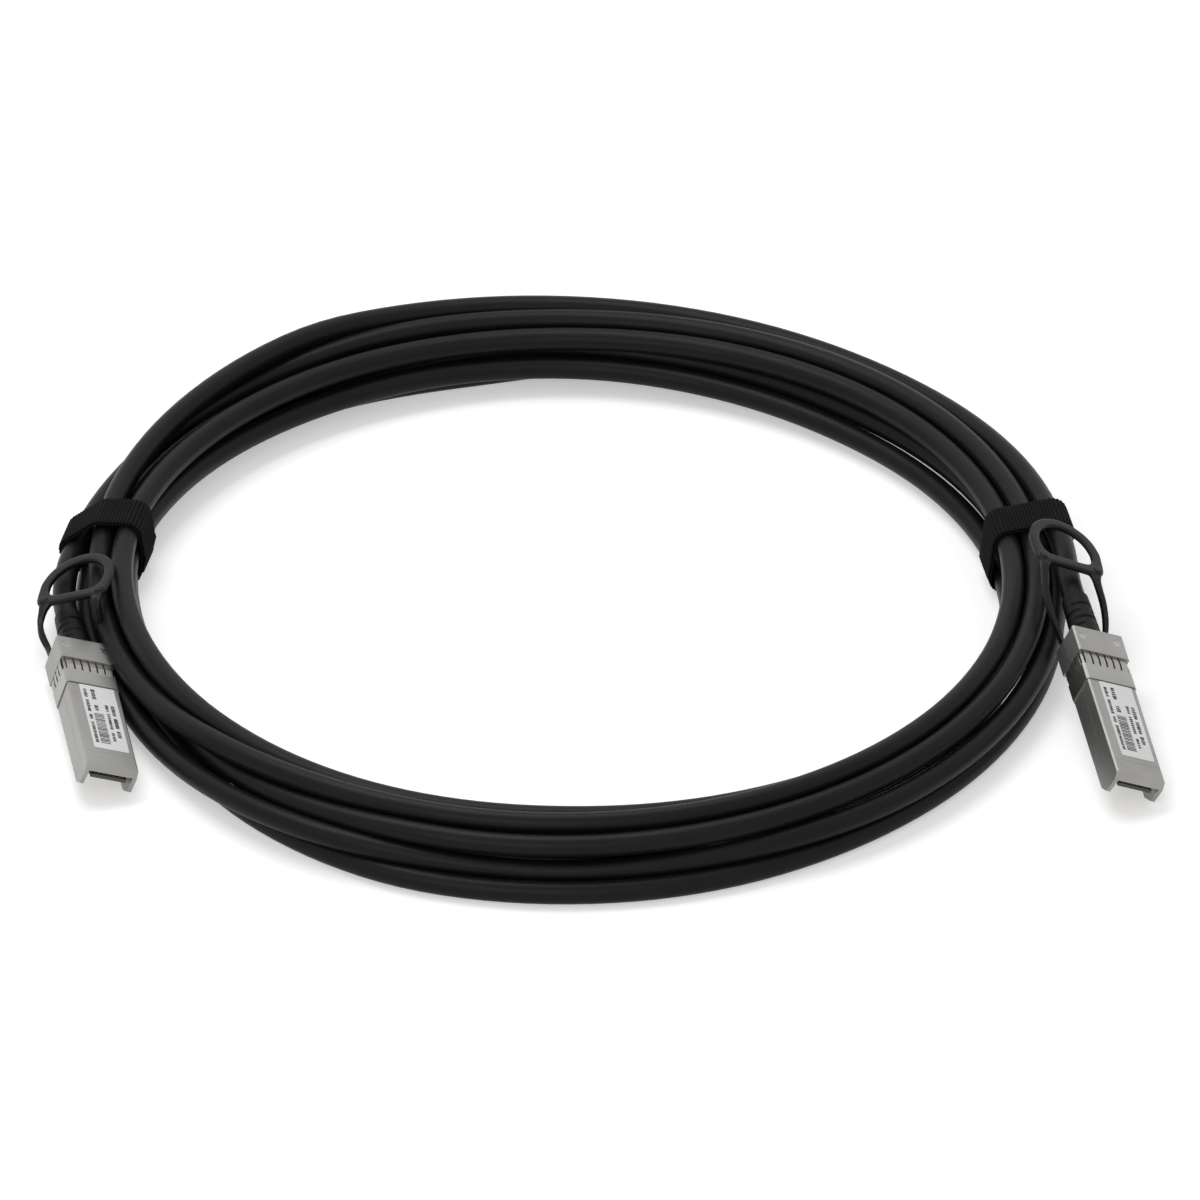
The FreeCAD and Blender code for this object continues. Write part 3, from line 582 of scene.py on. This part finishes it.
# %% Finishes
nickel = finish(
    "satin_nickel", ((0.30, 0.295, 0.28), (0.35, 0.345, 0.33)), (0.32, 0.44),
    grain=(5200.0, 0.02), bump=0.25, Metallic=0.9,
)
spring_steel = finish(
    "spring_steel", ((0.33, 0.325, 0.31), (0.38, 0.375, 0.36)), (0.28, 0.38),
    bump=0.12, Metallic=1.0,
)
bright_steel = finish(
    "bright_steel", ((0.42, 0.415, 0.40), (0.48, 0.475, 0.46)), (0.20, 0.30),
    bump=0.1, Metallic=1.0,
)
laminate = finish(
    "board_laminate", ((0.030, 0.034, 0.016), (0.042, 0.046, 0.022)), (0.38, 0.50),
    Coat_Weight=0.3,
)
gold = finish("contact_gold", ((0.86, 0.60, 0.22), (0.92, 0.66, 0.28)), (0.20, 0.30), Metallic=1.0)
resin = finish("chip_resin", ((0.012, 0.012, 0.013), (0.018, 0.018, 0.019)), (0.45, 0.60), bump=0.3)
foil = finish(
    "shield_foil", ((0.60, 0.61, 0.62), (0.70, 0.71, 0.72)), (0.22, 0.40), bump=0.4, Metallic=1.0
)
brass = finish("crimp_brass", ((0.60, 0.42, 0.18), (0.68, 0.49, 0.23)), (0.26, 0.36), Metallic=1.0)
jacket = finish(
    "jacket_vinyl", ((0.0052, 0.0052, 0.0055), (0.0068, 0.0068, 0.0071)), (0.34, 0.46),
    grain=(2600.0, 0.03), bump=0.2, Specular_IOR_Level=0.13,
)
rubber = finish(
    "boot_rubber", ((0.0040, 0.0040, 0.0040), (0.0055, 0.0055, 0.0054)), (0.44, 0.58),
    grain=(3000.0, 0.03), bump=0.3, Specular_IOR_Level=0.14,
)
tab_plastic = finish(
    "tab_plastic", ((0.0060, 0.0060, 0.0062), (0.0078, 0.0078, 0.0079)), (0.32, 0.42),
    grain=(3400.0, 0.02), bump=0.15, wear=(0.016, 0.016, 0.016), Specular_IOR_Level=0.18,
)
film = finish("label_film", ((0.74, 0.745, 0.74), (0.78, 0.785, 0.78)), (0.34, 0.46), bump=0.05)
ink = finish("label_ink", ((0.022, 0.022, 0.023), (0.034, 0.034, 0.035)), (0.40, 0.50), bump=0.05)

carried_over = {
    "cover_screws": bright_steel, "emi_collar": spring_steel, "release_slider": spring_steel,
    "return_springs": bright_steel, "paddle_board": laminate, "contact_pads": gold,
    "memory_chip": resin, "signal_wires": foil, "crimp_ferrule": brass,
}
for side in plugs:
    for part, material in carried_over.items():
        for slot in frame["nodes"][f"{side}_{part}"].material_slots:
            slot.material = material
cable.data.materials.append(jacket)
print("finishes:", len(bpy.data.materials), "carried-over kinds of piece:", len(carried_over))

# %% [markdown]
# ## The die-cast shells
#
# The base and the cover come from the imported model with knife-sharp edges. A casting that has
# been tumbled and plated has edges eased by about a tenth of a millimetre, and those edges are
# what catches the light. So each shell is copied, its loose triangles are merged into whole
# faces, and a Bevel modifier rounds every edge sharper than 30 degrees. The copy stands for the
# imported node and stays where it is.

# %% Shells
edge_ease = 0.11 * mm
merge_reach = 0.001 * mm
flat_angle = math.radians(2.0)
sharp_angle = math.radians(30.0)


def eased_shell(node):
    """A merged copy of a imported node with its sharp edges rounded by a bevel."""
    mesh = frame["nodes"][node].data.copy()
    work = bmesh.new()
    work.from_mesh(mesh)
    bmesh.ops.remove_doubles(work, verts=work.verts, dist=merge_reach)
    bmesh.ops.dissolve_limit(work, angle_limit=flat_angle, verts=work.verts, edges=work.edges)
    work.to_mesh(mesh)
    work.free()
    mesh.materials.clear()
    mesh.materials.append(nickel)
    mesh.polygons.foreach_set("use_smooth", np.full(len(mesh.polygons), False))
    piece = add_object(f"{node}_shell", mesh)
    ease = piece.modifiers.new("eased_edges", "BEVEL")
    ease.width = edge_ease
    ease.segments = 3
    ease.limit_method = "ANGLE"
    ease.angle_limit = sharp_angle
    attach(piece, "root")
    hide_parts(node)
    return piece


for side in plugs:
    for part in ("base_housing", "top_cover"):
        shell = eased_shell(f"{side}_{part}")
        print(shell.name, "faces before the bevel:", len(shell.data.polygons))

# %% [markdown]
# ## The label
#
# A film label with rounded corners lies on each cover. It carries no words and no marks: where
# a maker would print, it has rows of plain grey blocks and a field of bars, in an order drawn
# from a seeded number. The film is a rounded outline at its bottom and again at its top, and the
# blocks are thin boxes, all of them made at once from an array of their corners.

# %% Label film
film_corner = 0.5 * mm
label_low = 8.5 * mm


def rounded_outline(half_width, half_length, corner, steps=6):
    """Points round a rectangle whose corners are quarter circles."""
    turn = np.linspace(0, np.pi / 2, steps)
    arcs = []
    for quarter, (sx, sy) in enumerate(((1, 1), (-1, 1), (-1, -1), (1, -1))):
        angle = turn + quarter * np.pi / 2
        x = sx * (half_width - corner) + corner * np.cos(angle)
        y = sy * (half_length - corner) + corner * np.sin(angle)
        arcs.append(np.stack([x, y], axis=-1))
    return np.vstack(arcs)


def label_film(side):
    """The film: the outline at the bottom and top, closed by one face at each end."""
    flat = rounded_outline(label_width / 2, label_length / 2, film_corner) + label_middle[:2]
    heights = (label_low, label_low + label_thickness)
    rings = np.vstack([np.column_stack([flat, np.full(len(flat), z)]) for z in heights])
    placed, faces = plugs[side].place(rings), capped_faces(2, len(flat))
    piece = mesh_piece(f"{side}_label_film", placed, faces, film, smooth=False)
    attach(piece, "root")
    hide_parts(f"{side}_label")
    return piece


# %% Print fields
# Each row: its place across the label and its width (mm), then spans along it as shares.
print_rows = [
    (-3.40, 0.95, [(0.07, 0.20), (0.24, 0.42), (0.47, 0.55), (0.59, 0.93)]),
    (-1.35, 1.25, [(0.06, 0.23), (0.31, 0.39)]),
    (1.45, 0.90, [(0.28, 0.38), (0.42, 0.68), (0.72, 0.86)]),
    (3.05, 1.15, [(0.28, 0.44), (0.48, 0.64), (0.68, 0.78)]),
]
bar_field = (-1.15, 2.6, (0.44, 0.93))
block_pitch, block_share = 0.78 * mm, 0.55
bar_pitch, bar_share = 0.62 * mm, 0.35
length_spread, width_spread = 0.4, 0.3
first_seed = 3
ink_depth = 0.02 * mm
label_rear = label_middle[1] + label_length / 2
box_corners = np.array([(x, y, z) for z in (0, 1) for x, y in ((0, 0), (1, 0), (1, 1), (0, 1))])
box_faces = [(3, 2, 1, 0), (4, 5, 6, 7), (0, 1, 5, 4), (1, 2, 6, 5), (2, 3, 7, 6), (3, 0, 4, 7)]


def block_boxes(draw):
    """Low and high corners of every block and bar on the label, in the plug's own frame."""
    lows, highs = [], []
    blocks = (block_pitch, block_share)
    rows = [(x, width, span, *blocks) for x, width, spans in print_rows for span in spans]
    rows.append((*bar_field, bar_pitch, bar_share))
    for x, width, span, pitch, share in rows:
        ends = label_rear - np.array(span) * label_length
        places = np.arange(ends[0], ends[1] + pitch / 2, -pitch)
        sizes = pitch * (share + length_spread * draw.random(len(places)))
        narrowed = width_spread * draw.random(len(places)) * (pitch == block_pitch)
        across = width * mm * (1 - narrowed)
        centre = label_middle[0] + x * mm
        top = np.full_like(places, label_low + label_thickness)
        lows.append(np.stack([centre - across / 2, places - sizes, top], axis=-1))
        highs.append(np.stack([centre + across / 2, places, top + ink_depth], axis=-1))
    return np.vstack(lows), np.vstack(highs)


def label_print(side, seed):
    """All blocks of one label as thin boxes: low + corner x (high - low)."""
    low, high = block_boxes(np.random.default_rng(seed))
    points = low[:, None, :] + box_corners[None, :, :] * (high - low)[:, None, :]
    steps = (np.arange(len(low)) * len(box_corners))[:, None, None]
    faces = (np.array(box_faces)[None, :, :] + steps).reshape(-1, 4).tolist()
    placed = plugs[side].place(points.reshape(-1, 3))
    piece = mesh_piece(f"{side}_label_print", placed, faces, ink, smooth=False)
    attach(piece, "root")
    return len(low)


for seed, side in enumerate(plugs, first_seed):
    label_film(side)
    print(side, "blocks of print:", label_print(side, seed))

# %% [markdown]
# ## The strain reliefs
#
# Each plug's cable leaves through a moulded rubber boot. It is a turned shape: a flange trapped
# inside the head, a neck through the head's rear wall, and a body that tapers a little. Rows of
# grooves let it flex: one row's two grooves are at the sides, the next row's at the top and
# bottom, and so on, so a solid rib always joins one ring to the next. The surface is a profile
# carried round the cable's axis, and the grooves are taken off its radius by one formula.

# %% Strain reliefs
boot_bore = 2.95 * mm
groove_rows = 4
groove_first = 60.6 * mm
groove_spacing = 2.6 * mm
groove_width = 0.85 * mm
groove_depth = 0.62 * mm
groove_half_sweep = math.radians(62.0)
groove_fade = math.radians(7.0)
boot_profile = np.array([
    (52.3, 3.85), (54.7, 3.85), (54.7, 3.30), (56.1, 3.30), (56.1, 3.85), (58.1, 3.85),
    (73.0, 3.40), (73.0, 2.95), (52.3, 2.95),
]) * mm
boot_turns = 112
boot_ease, boot_step = 0.25 * mm, 0.16 * mm
bore_margin = 0.1 * mm


def rounded_profile(corners, ease, step):
    """A closed outline with each corner cut by a small arc, sampled about every step."""
    pieces = []
    for before, corner, after in zip(np.roll(corners, 1, 0), corners, np.roll(corners, -1, 0)):
        way_in, way_out = before - corner, after - corner
        reach = np.minimum(ease, 0.4 * min(np.linalg.norm(way_in), np.linalg.norm(way_out)))
        start = corner + way_in / np.linalg.norm(way_in) * reach
        end = corner + way_out / np.linalg.norm(way_out) * reach
        share = np.linspace(0, 1, 4)[:, None]
        pieces.append((1 - share) ** 2 * start + 2 * share * (1 - share) * corner + share**2 * end)
    outline = []
    for here, there in zip(pieces, pieces[1:] + pieces[:1]):
        count = max(int(np.linalg.norm(there[0] - here[-1]) / step), 1)
        outline.append(here)
        outline.append(here[-1] + (there[0] - here[-1]) * (np.arange(1, count) / count)[:, None])
    return np.vstack(outline)


def groove_relief(along, turn):
    """Depth of the grooves: a trough e^-(2d/w)^6 in each row, fading out past its sweep."""
    depth = np.zeros(np.broadcast(along, turn).shape)
    for row in range(groove_rows):
        middle = groove_first + row * groove_spacing
        trough = np.exp(-((2 * np.abs(along - middle) / groove_width) ** 6))
        for centre in (0.0, np.pi) if row % 2 == 0 else (np.pi / 2, -np.pi / 2):
            off = np.abs((turn - centre + np.pi) % (2 * np.pi) - np.pi)
            depth += trough * smooth_step((groove_half_sweep - off) / groove_fade + 0.5)
    return groove_depth * depth


def strain_relief(side):
    """The profile carried round the axis: (r cos t, y, axis + r sin t), r less the grooves."""
    outline = rounded_profile(boot_profile, boot_ease, boot_step)
    turn = np.linspace(0, 2 * np.pi, boot_turns, endpoint=False)
    along, radius = outline[:, :1], outline[:, 1:]
    outside = (radius > boot_bore + bore_margin) & (along > plug_length)
    radius = radius - groove_relief(along, turn[None, :]) * outside
    along = np.broadcast_to(along, radius.shape)
    points = np.stack([radius * np.cos(turn), along, axis_height + radius * np.sin(turn)], axis=-1)
    faces = grid_faces(len(outline), boot_turns, rows_close=True)
    placed = plugs[side].place(points.reshape(-1, 3))
    piece = mesh_piece(f"{side}_flex_boot", placed, faces, rubber)
    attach(piece, "root")
    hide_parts(f"{side}_strain_relief")
    return piece


for side in plugs:
    print(side, "boot faces:", len(strain_relief(side).data.polygons))

# %% [markdown]
# ## The straps
#
# A hook-and-loop strap is a flat woven band pulled tight round the turns, so its loop is the
# outline that a rubber band would take round the strands: arcs where it bends over a strand,
# straight from one strand to the next. For each direction round the loop the furthest strand is
# found, and the loop runs a strand's radius beyond it. The band's face is ribbed across its
# width, and the ribs are part of the shape, because they show in its outline. The band's end is
# lapped over it from low on one side, over the top, to low on the other.

# %% Centre line of the cable
bare = bpy.data.objects.new("bare_route", cable.data.copy())
bare.data.bevel_depth = 0.0
centre_line = mesh_points(bpy.data.meshes.new_from_object(bare))
bpy.data.objects.remove(bare)
print("centre line points:", len(centre_line))

# %% Straps
strap_width = 11.0 * mm
strap_thickness = 0.62 * mm
strap_gap = 0.10 * mm
rib_pitch = 0.80 * mm
rib_height = 0.30 * mm
rib_waist = 0.12 * mm
steps_per_rib = 8
loop_ways = 1441
band_section = (36, 8.0)
lap_gap = 0.02 * mm
lap_outer_end, lap_inner_end = 5.5 * mm, 4.5 * mm
lap_lift, lap_lift_reach = 0.25 * mm, 4.0 * mm
# The strap's valley tone is painted shade: the colour between the ribs goes near black where the
# weave shades itself.
woven = finish(
    "woven_strap", ((0.0105, 0.0105, 0.0106), (0.0135, 0.0135, 0.0136)), (0.80, 0.95),
    grain=(5000.0, 0.12), bump=0.6, valley_shade=(0.0006, 0.0006, 0.0006), Specular_IOR_Level=0.08,
)


def strap_ways(angle):
    """The strap's own directions: outwards and along the coil."""
    turn = math.radians(angle)
    out = np.array([math.cos(turn), math.sin(turn), 0.0])
    return out, np.array([-out[1], out[0], 0.0])


def strands_under(angle):
    """Distance from the coil's middle and height of every cable point under the strap."""
    out, along = strap_ways(angle)
    seen = centre_line - coil_centre
    under = (np.abs(seen @ along) < strap_width / 2 + mm) & (seen @ out > 0)
    return np.column_stack([seen @ out, seen[:, 2]])[under]


def wrapped_loop(strands, offset):
    """An even loop round the strands, its outward ways, and how far along it each point is."""
    turn = np.linspace(-np.pi, np.pi, loop_ways)
    ways = np.column_stack([np.cos(turn), np.sin(turn)])
    loop = strands[np.argmax(ways @ strands.T, axis=1)] + ways * offset
    length = np.concatenate([[0.0], np.cumsum(np.linalg.norm(np.diff(loop, axis=0), axis=1))])
    ribs = round(length[-1] / rib_pitch)
    even = np.linspace(0, length[-1], ribs * steps_per_rib, endpoint=False)
    points = np.column_stack([np.interp(even, length, loop[:, i]) for i in (0, 1)])
    normals = np.column_stack([np.interp(even, length, ways[:, i]) for i in (0, 1)])
    return points, normals / np.linalg.norm(normals, axis=1, keepdims=True), even


def rib_wave(even):
    """The weave's ribs along the band: |sin| of the way along, 0 in a valley and 1 on a ridge."""
    return np.abs(np.sin(np.pi * even / rib_pitch)) ** 0.8


def band_points(angle, loop, normals, even, low, lift):
    """A soft-edged band on a loop: across is strap_width / 2 x a, out is its thickness x b."""
    out, along = strap_ways(angle)
    a, b = round_square(*band_section)
    rib = rib_wave(even)[:, None]
    across = a * (strap_width / 2 - rib_waist * (1 - rib))
    rise = low + strap_thickness * (b + 1) / 2 + rib_height * (rib - 1) * smooth_step(b * 2)
    rise = rise + lift[:, None]
    flat = loop[:, None, :] + normals[:, None, :] * rise[..., None]
    level = coil_centre + flat[..., :1] * out + flat[..., 1:] * np.array([0.0, 0.0, 1.0])
    return level + across[..., None] * along


def strap(side, angle):
    """The band once round the strands, and its end lapped over the outside."""
    loop, normals, even = wrapped_loop(strands_under(angle), cable_radius + strap_gap)
    band = band_points(angle, loop, normals, even, 0.0, np.zeros(len(loop)))
    faces = grid_faces(len(loop), band.shape[1], rows_close=True)
    middle = (loop[:, 0].min() + loop[:, 0].max()) / 2
    end_height = np.where(loop[:, 0] > middle, lap_outer_end, lap_inner_end)
    lapped = np.flatnonzero(loop[:, 1] > end_height)
    run = even[lapped] - even[lapped][0]
    lift = lap_lift * smooth_step(1 - run / lap_lift_reach)
    lap_low = strap_thickness + lap_gap
    lap = band_points(angle, loop[lapped], normals[lapped], even[lapped], lap_low, lift)
    columns = band.shape[1]
    faces += capped_faces(len(lapped), columns, first=len(loop) * columns)
    points = np.vstack([band.reshape(-1, 3), lap.reshape(-1, 3)])
    piece = mesh_piece(f"{side}_hook_loop_strap", points, faces, woven)
    # The rib value also places the painted shade between the ribs.
    ribs = np.repeat(rib_wave(np.concatenate([even, even[lapped]])), columns)
    rib_values = piece.data.attributes.new("rib", "FLOAT", "POINT").data
    rib_values.foreach_set("value", ribs.astype(np.float32))
    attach(piece, "root")
    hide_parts(f"{side}_strap")
    return piece


for side, angle in strap_angles.items():
    piece = strap(side, angle)
    lowest = float(mesh_points(piece.data)[:, 2].min())
    print(piece.name, "faces:", len(piece.data.polygons), "lowest (mm):", round(lowest / mm, 2))

# %% [markdown]
# ## The pull tabs
#
# The tab is one soft moulding: a finger ring like a letter D, a crossbar with a small button at
# each end, and two slim arms that run forward past the strain relief to feet inside the head.
# The ring is a soft-cornered section carried round between an outer and an inner outline. Each
# arm is a section carried along a smooth path, wide where it grows out of the crossbar and slim
# at its foot. The pieces are joined and remeshed into one skin, and a few rounds of smoothing
# give the small fillets that a mould leaves where they meet.

# %% Pull tab outlines
ring_thickness = 1.5 * mm
ring_outer = np.array([
    (0.0, 18.06), (3.35, 17.36), (6.30, 15.36), (8.49, 12.28), (9.65, 8.51), (9.80, 6.50),
    (9.74, 4.40), (9.66, 2.20), (9.45, 0.20), (8.70, -1.15), (7.20, -1.60), (3.60, -1.55),
    (0.0, -1.50),
]) * mm
ring_inner = np.array([
    (0.0, 15.11), (2.50, 14.59), (4.69, 13.10), (6.32, 10.81), (7.19, 8.00), (7.30, 6.50),
    (7.20, 4.90), (6.75, 3.35), (5.80, 2.20), (4.60, 1.72), (3.40, 1.62), (1.70, 1.60),
    (0.0, 1.60),
]) * mm
ring_turns = {"left": (-11.3, 2.1, -20.5), "right": (9.8, 3.4, 25.4)}
ring_offsets = {"left": (-1.5, 14.2, 8.3), "right": (-4.7, 22.7, 9.0)}
release_bodies = {"left": "left_release", "right": "right_release"}


def smooth_path(points, count, closed=False):
    """A Catmull-Rom path: each stretch is a cubic through its ends, steered by its neighbours."""
    points = np.asarray(points, dtype=float)
    if closed:
        padded = np.vstack([points[-1:], points, points[:2]])
    else:
        padded = np.vstack([2 * points[0] - points[1], points, 2 * points[-1] - points[-2]])
    stretches = len(padded) - 3
    place = np.linspace(0, stretches, count, endpoint=not closed)
    index = np.minimum(place.astype(int), stretches - 1)
    t = (place - index)[:, None]
    a, b, c, d = (padded[index + step] for step in range(4))
    square, cube = 2 * a - 5 * b + 4 * c - d, 3 * b - a - 3 * c + d
    return 0.5 * (2 * b + (c - a) * t + square * t**2 + cube * t**3)


def both_halves(half):
    """A closed outline from its right half, whose first and last points lie on the middle."""
    mirrored = half[-2:0:-1] * np.array([-1.0, 1.0])
    return np.vstack([half, mirrored])


class RingFrame(OwnFrame):
    """The finger ring's own frame: turned about Z, then X, then Y, off the plug's rear face."""

    def __init__(self, side):
        (cz, cx, cy), (sz, sx, sy) = (way(np.radians(ring_turns[side])) for way in (np.cos, np.sin))
        about_z = np.array([(cz, -sz, 0), (sz, cz, 0), (0, 0, 1)])
        about_x = np.array([(1, 0, 0), (0, cx, -sx), (0, sx, cx)])
        about_y = np.array([(cy, 0, sy), (0, 1, 0), (-sy, 0, cy)])
        self.turn = (about_z @ about_x @ about_y).T
        rear = plugs[side].place((0.0, plug_length, axis_height))
        self.origin = rear + np.array(ring_offsets[side]) * mm


rings = {side: RingFrame(side) for side in plugs}
print("ring origins (mm):", {side: np.round(ring.origin / mm, 1) for side, ring in rings.items()})

# %% Pull tab pieces
ring_steps, ring_section = 200, (28, 5.0)
arm_steps, arm_section = 90, (24, 5.0)
arm_bow = 1.0 * mm
foot_middle = 5.975
disc_turns, rim_steps = 40, 5


def ring_skin(ring):
    """Middle of the two outlines, plus half their gap x a, plus half the thickness x b."""
    outer = smooth_path(both_halves(ring_outer), ring_steps, closed=True)
    inner = smooth_path(both_halves(ring_inner), ring_steps, closed=True)
    a, b = round_square(*ring_section)
    flat = (outer + inner)[:, None, :] / 2 + (outer - inner)[:, None, :] / 2 * a[None, :, None]
    rise = np.broadcast_to(b * ring_thickness / 2, flat.shape[:2])
    points = ring.place(np.concatenate([flat, rise[..., None]], axis=-1))
    return points.reshape(-1, 3), grid_faces(ring_steps, len(a), rows_close=True)


def swept_bar(path, ups, widths, heights):
    """A soft-cornered section carried along a path: across is the path's way x its up."""
    ways = np.gradient(path, axis=0)
    ways /= np.linalg.norm(ways, axis=1, keepdims=True)
    across = np.cross(ways, ups)
    across /= np.linalg.norm(across, axis=1, keepdims=True)
    up = np.cross(across, ways)
    a, b = round_square(*arm_section)
    points = path[:, None, :] + across[:, None, :] * (a * widths[:, None] / 2)[..., None]
    points = points + up[:, None, :] * (b * heights[:, None] / 2)[..., None]
    return points.reshape(-1, 3), capped_faces(len(path), len(a))


def arm_skin(side, hand):
    """One arm: stations from the crossbar to the foot, each with its up, width and height."""
    ring, plug = rings[side], plugs[side]

    def at(frame, x, y, z):
        return frame.place(np.array((x * hand, y, z)) * mm)

    bend = at(ring, 7.5, -4.0, -0.8)
    knee = at(plug, foot_middle + 0.45, 60.6, 2.3)
    out = plug.x * hand
    stations = [
        (at(ring, 6.5, 0.9, 0.0), ring.turn[2], 4.6, 1.40),
        (at(ring, 7.1, -1.6, -0.2), ring.turn[2], 3.0, 1.45),
        (bend, ring.turn[2], 1.9, 1.45),
        ((2 * bend + knee) / 3 + out * arm_bow, (ring.turn[2] + plug.z) / 2, 1.5, 1.6),
        ((bend + 2 * knee) / 3 + out * arm_bow, plug.z, 1.3, 1.75),
        (knee, plug.z, 1.0, 1.8),
    ]
    stations += [(at(plug, foot_middle, y, 1.9), plug.z, 0.85, 1.8) for y in (57.2, 53.0, 48.9)]
    places, ups, widths, heights = zip(*stations)
    path, up = smooth_path(places, arm_steps), smooth_path(ups, arm_steps)
    sizes = smooth_path(np.column_stack([widths, heights]), arm_steps) * mm
    return swept_bar(path, up, sizes[:, 0], sizes[:, 1])


def turned_disc(radius, height, edge):
    """A disc turned about Z from 0 up to its height: (r cos t, r sin t, z), its rim rounded."""
    turn = np.linspace(0, 2 * np.pi, disc_turns, endpoint=False)
    bend = np.linspace(0, np.pi / 2, rim_steps)
    radii = np.concatenate([[radius], radius - edge + edge * np.cos(bend)])[:, None]
    heights = np.concatenate([[0.0], height - edge + edge * np.sin(bend)])[:, None]
    heights = np.broadcast_to(heights, (len(radii), disc_turns))
    points = np.stack([radii * np.cos(turn), radii * np.sin(turn), heights], axis=-1)
    return points.reshape(-1, 3), capped_faces(len(radii), disc_turns)


# %% Pull tabs
button_size = np.array((1.25, 1.22, 0.25)) * mm
button_place = np.array((7.6, 0.0, 0.0)) * mm
peg_size = np.array((0.5, 1.05, 0.1)) * mm
peg_place = np.array((foot_middle, 50.1, 1.825)) * mm
skin_voxel = 0.16 * mm
skin_rounds = 4


def pull_tab(side):
    """Ring, arms, buttons and pegs joined, remeshed into one skin and smoothed."""
    ring, plug = rings[side], plugs[side]
    parts = [ring_skin(ring)] + [arm_skin(side, hand) for hand in (-1, 1)]
    button, button_faces = turned_disc(*button_size)
    peg, peg_faces = turned_disc(*peg_size)
    for hand in (-1, 1):
        mirror = np.array((hand, 1, 1))
        parts.append((ring.place(button + button_place * mirror), button_faces))
        peg_turn = np.array([(0, 1, 0), (0, 0, 1), (-hand, 0, 0)])
        parts.append((plug.place(peg @ peg_turn + peg_place * mirror), peg_faces))
    points, faces = [], []
    for part_points, part_faces in parts:
        if signed_volume(part_points, part_faces) < 0:
            part_faces = [face[::-1] for face in part_faces]
        first = sum(len(block) for block in points)
        points.append(part_points)
        faces += [[index + first for index in face] for face in part_faces]
    piece = mesh_piece(f"{side}_finger_tab", np.vstack(points), faces, tab_plastic)
    remesh = piece.modifiers.new("one_skin", "REMESH")
    remesh.mode = "VOXEL"
    remesh.voxel_size = skin_voxel
    remesh.use_smooth_shade = True
    smooth = piece.modifiers.new("mould_fillets", "SMOOTH")
    smooth.factor = 0.5
    smooth.iterations = skin_rounds
    evaluated = piece.evaluated_get(bpy.context.evaluated_depsgraph_get())
    skin = bpy.data.meshes.new_from_object(evaluated)
    piece.modifiers.clear()
    piece.data = skin
    skin.materials.clear()
    skin.materials.append(tab_plastic)
    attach(piece, release_bodies[side])
    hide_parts(f"{side}_pull_tab")
    return piece


for side in plugs:
    print(side, "tab faces:", len(pull_tab(side).data.polygons))

# %% [markdown]
# ## Light, floor and background
#
# A plain studio: one wide lamp above and behind, a softer one in front, and an even white
# surround. Each lamp's power is worked out from the level that a matt white sheet facing it
# would show, so that a colour renders about as it is written. The background is white because
# of the colour of the floor and the world to camera and mirror rays, not because of more light
# on the object, and the floor still keeps the soft shadow of the coil.

# %% Lamps
surround_level = 0.46
white = (1.0, 1.0, 1.0, 1.0)


def softbox(name, place, aim, size, level):
    """An area lamp; its power is level x pi^2 x distance^2, which shows white at that level."""
    data = bpy.data.lights.new(name, "AREA")
    data.shape = "RECTANGLE"
    data.size, data.size_y = size
    way = Vector(aim) - Vector(place)
    data.energy = level * math.pi**2 * way.length_squared
    lamp = add_object(name, data)
    lamp.location = place
    lamp.rotation_euler = way.to_track_quat("-Z", "Y").to_euler()
    return lamp


softbox("top_lamp", (-0.25, 0.35, 1.10), (0.0, 0.03, 0.0), (0.9, 0.5), 0.42)
softbox("front_lamp", (-0.30, -1.00, 0.75), (0.0, 0.0, 0.0), (0.8, 0.6), 0.16)

# %% Surround
def ray_share(tree, *kinds):
    """1 for rays of any of these kinds and 0 for the others: the largest of their flags."""
    paths = add_node(tree, "LightPath")
    share = paths.outputs[kinds[0]]
    for kind in kinds[1:]:
        larger = add_node(tree, "Math")
        larger.operation = "MAXIMUM"
        tree.links.new(share, larger.inputs[0])
        tree.links.new(paths.outputs[kind], larger.inputs[1])
        share = larger.outputs[0]
    return share


world = bpy.data.worlds.new("studio")
bpy.context.scene.world = world
tree, output = node_tree(world)
choose = add_node(tree, "MixShader")
share = ray_share(tree, "Is Camera Ray", "Is Transmission Ray", "Is Glossy Ray")
tree.links.new(share, choose.inputs[0])
for place, level in ((1, surround_level), (2, 1.0)):
    surround = add_node(tree, "Background", Color=white, Strength=level)
    tree.links.new(surround.outputs[0], choose.inputs[place])
tree.links.new(choose.outputs[0], output.inputs["Surface"])
print("surround level:", surround_level)

# %% Floor
floor_half = 3.0
floor_color = (0.80, 0.80, 0.80, 1.0)
floor_lift = 0.42
mesh = bpy.data.meshes.new("floor")
corners = [(x * floor_half, y * floor_half, 0) for x, y in ((-1, -1), (1, -1), (1, 1), (-1, 1))]
mesh.from_pydata(corners, [], [(0, 1, 2, 3)])
floor = add_object("floor", mesh)
floor_material = bpy.data.materials.new("floor_paper")
tree, output = node_tree(floor_material)
paper = add_node(tree, "BsdfDiffuse", Color=floor_color)
glow = add_node(tree, "Emission", Color=white)
lift = add_node(tree, "Math")
lift.operation = "MULTIPLY"
lift.inputs[1].default_value = floor_lift
both = add_node(tree, "AddShader")
tree.links.new(ray_share(tree, "Is Camera Ray", "Is Glossy Ray"), lift.inputs[0])
tree.links.new(lift.outputs[0], glow.inputs["Strength"])
tree.links.new(paper.outputs[0], both.inputs[0])
tree.links.new(glow.outputs[0], both.inputs[1])
tree.links.new(both.outputs[0], output.inputs["Surface"])
floor.data.materials.append(floor_material)
bpy.context.scene.view_settings.view_transform = "Standard"
print("floor laid")
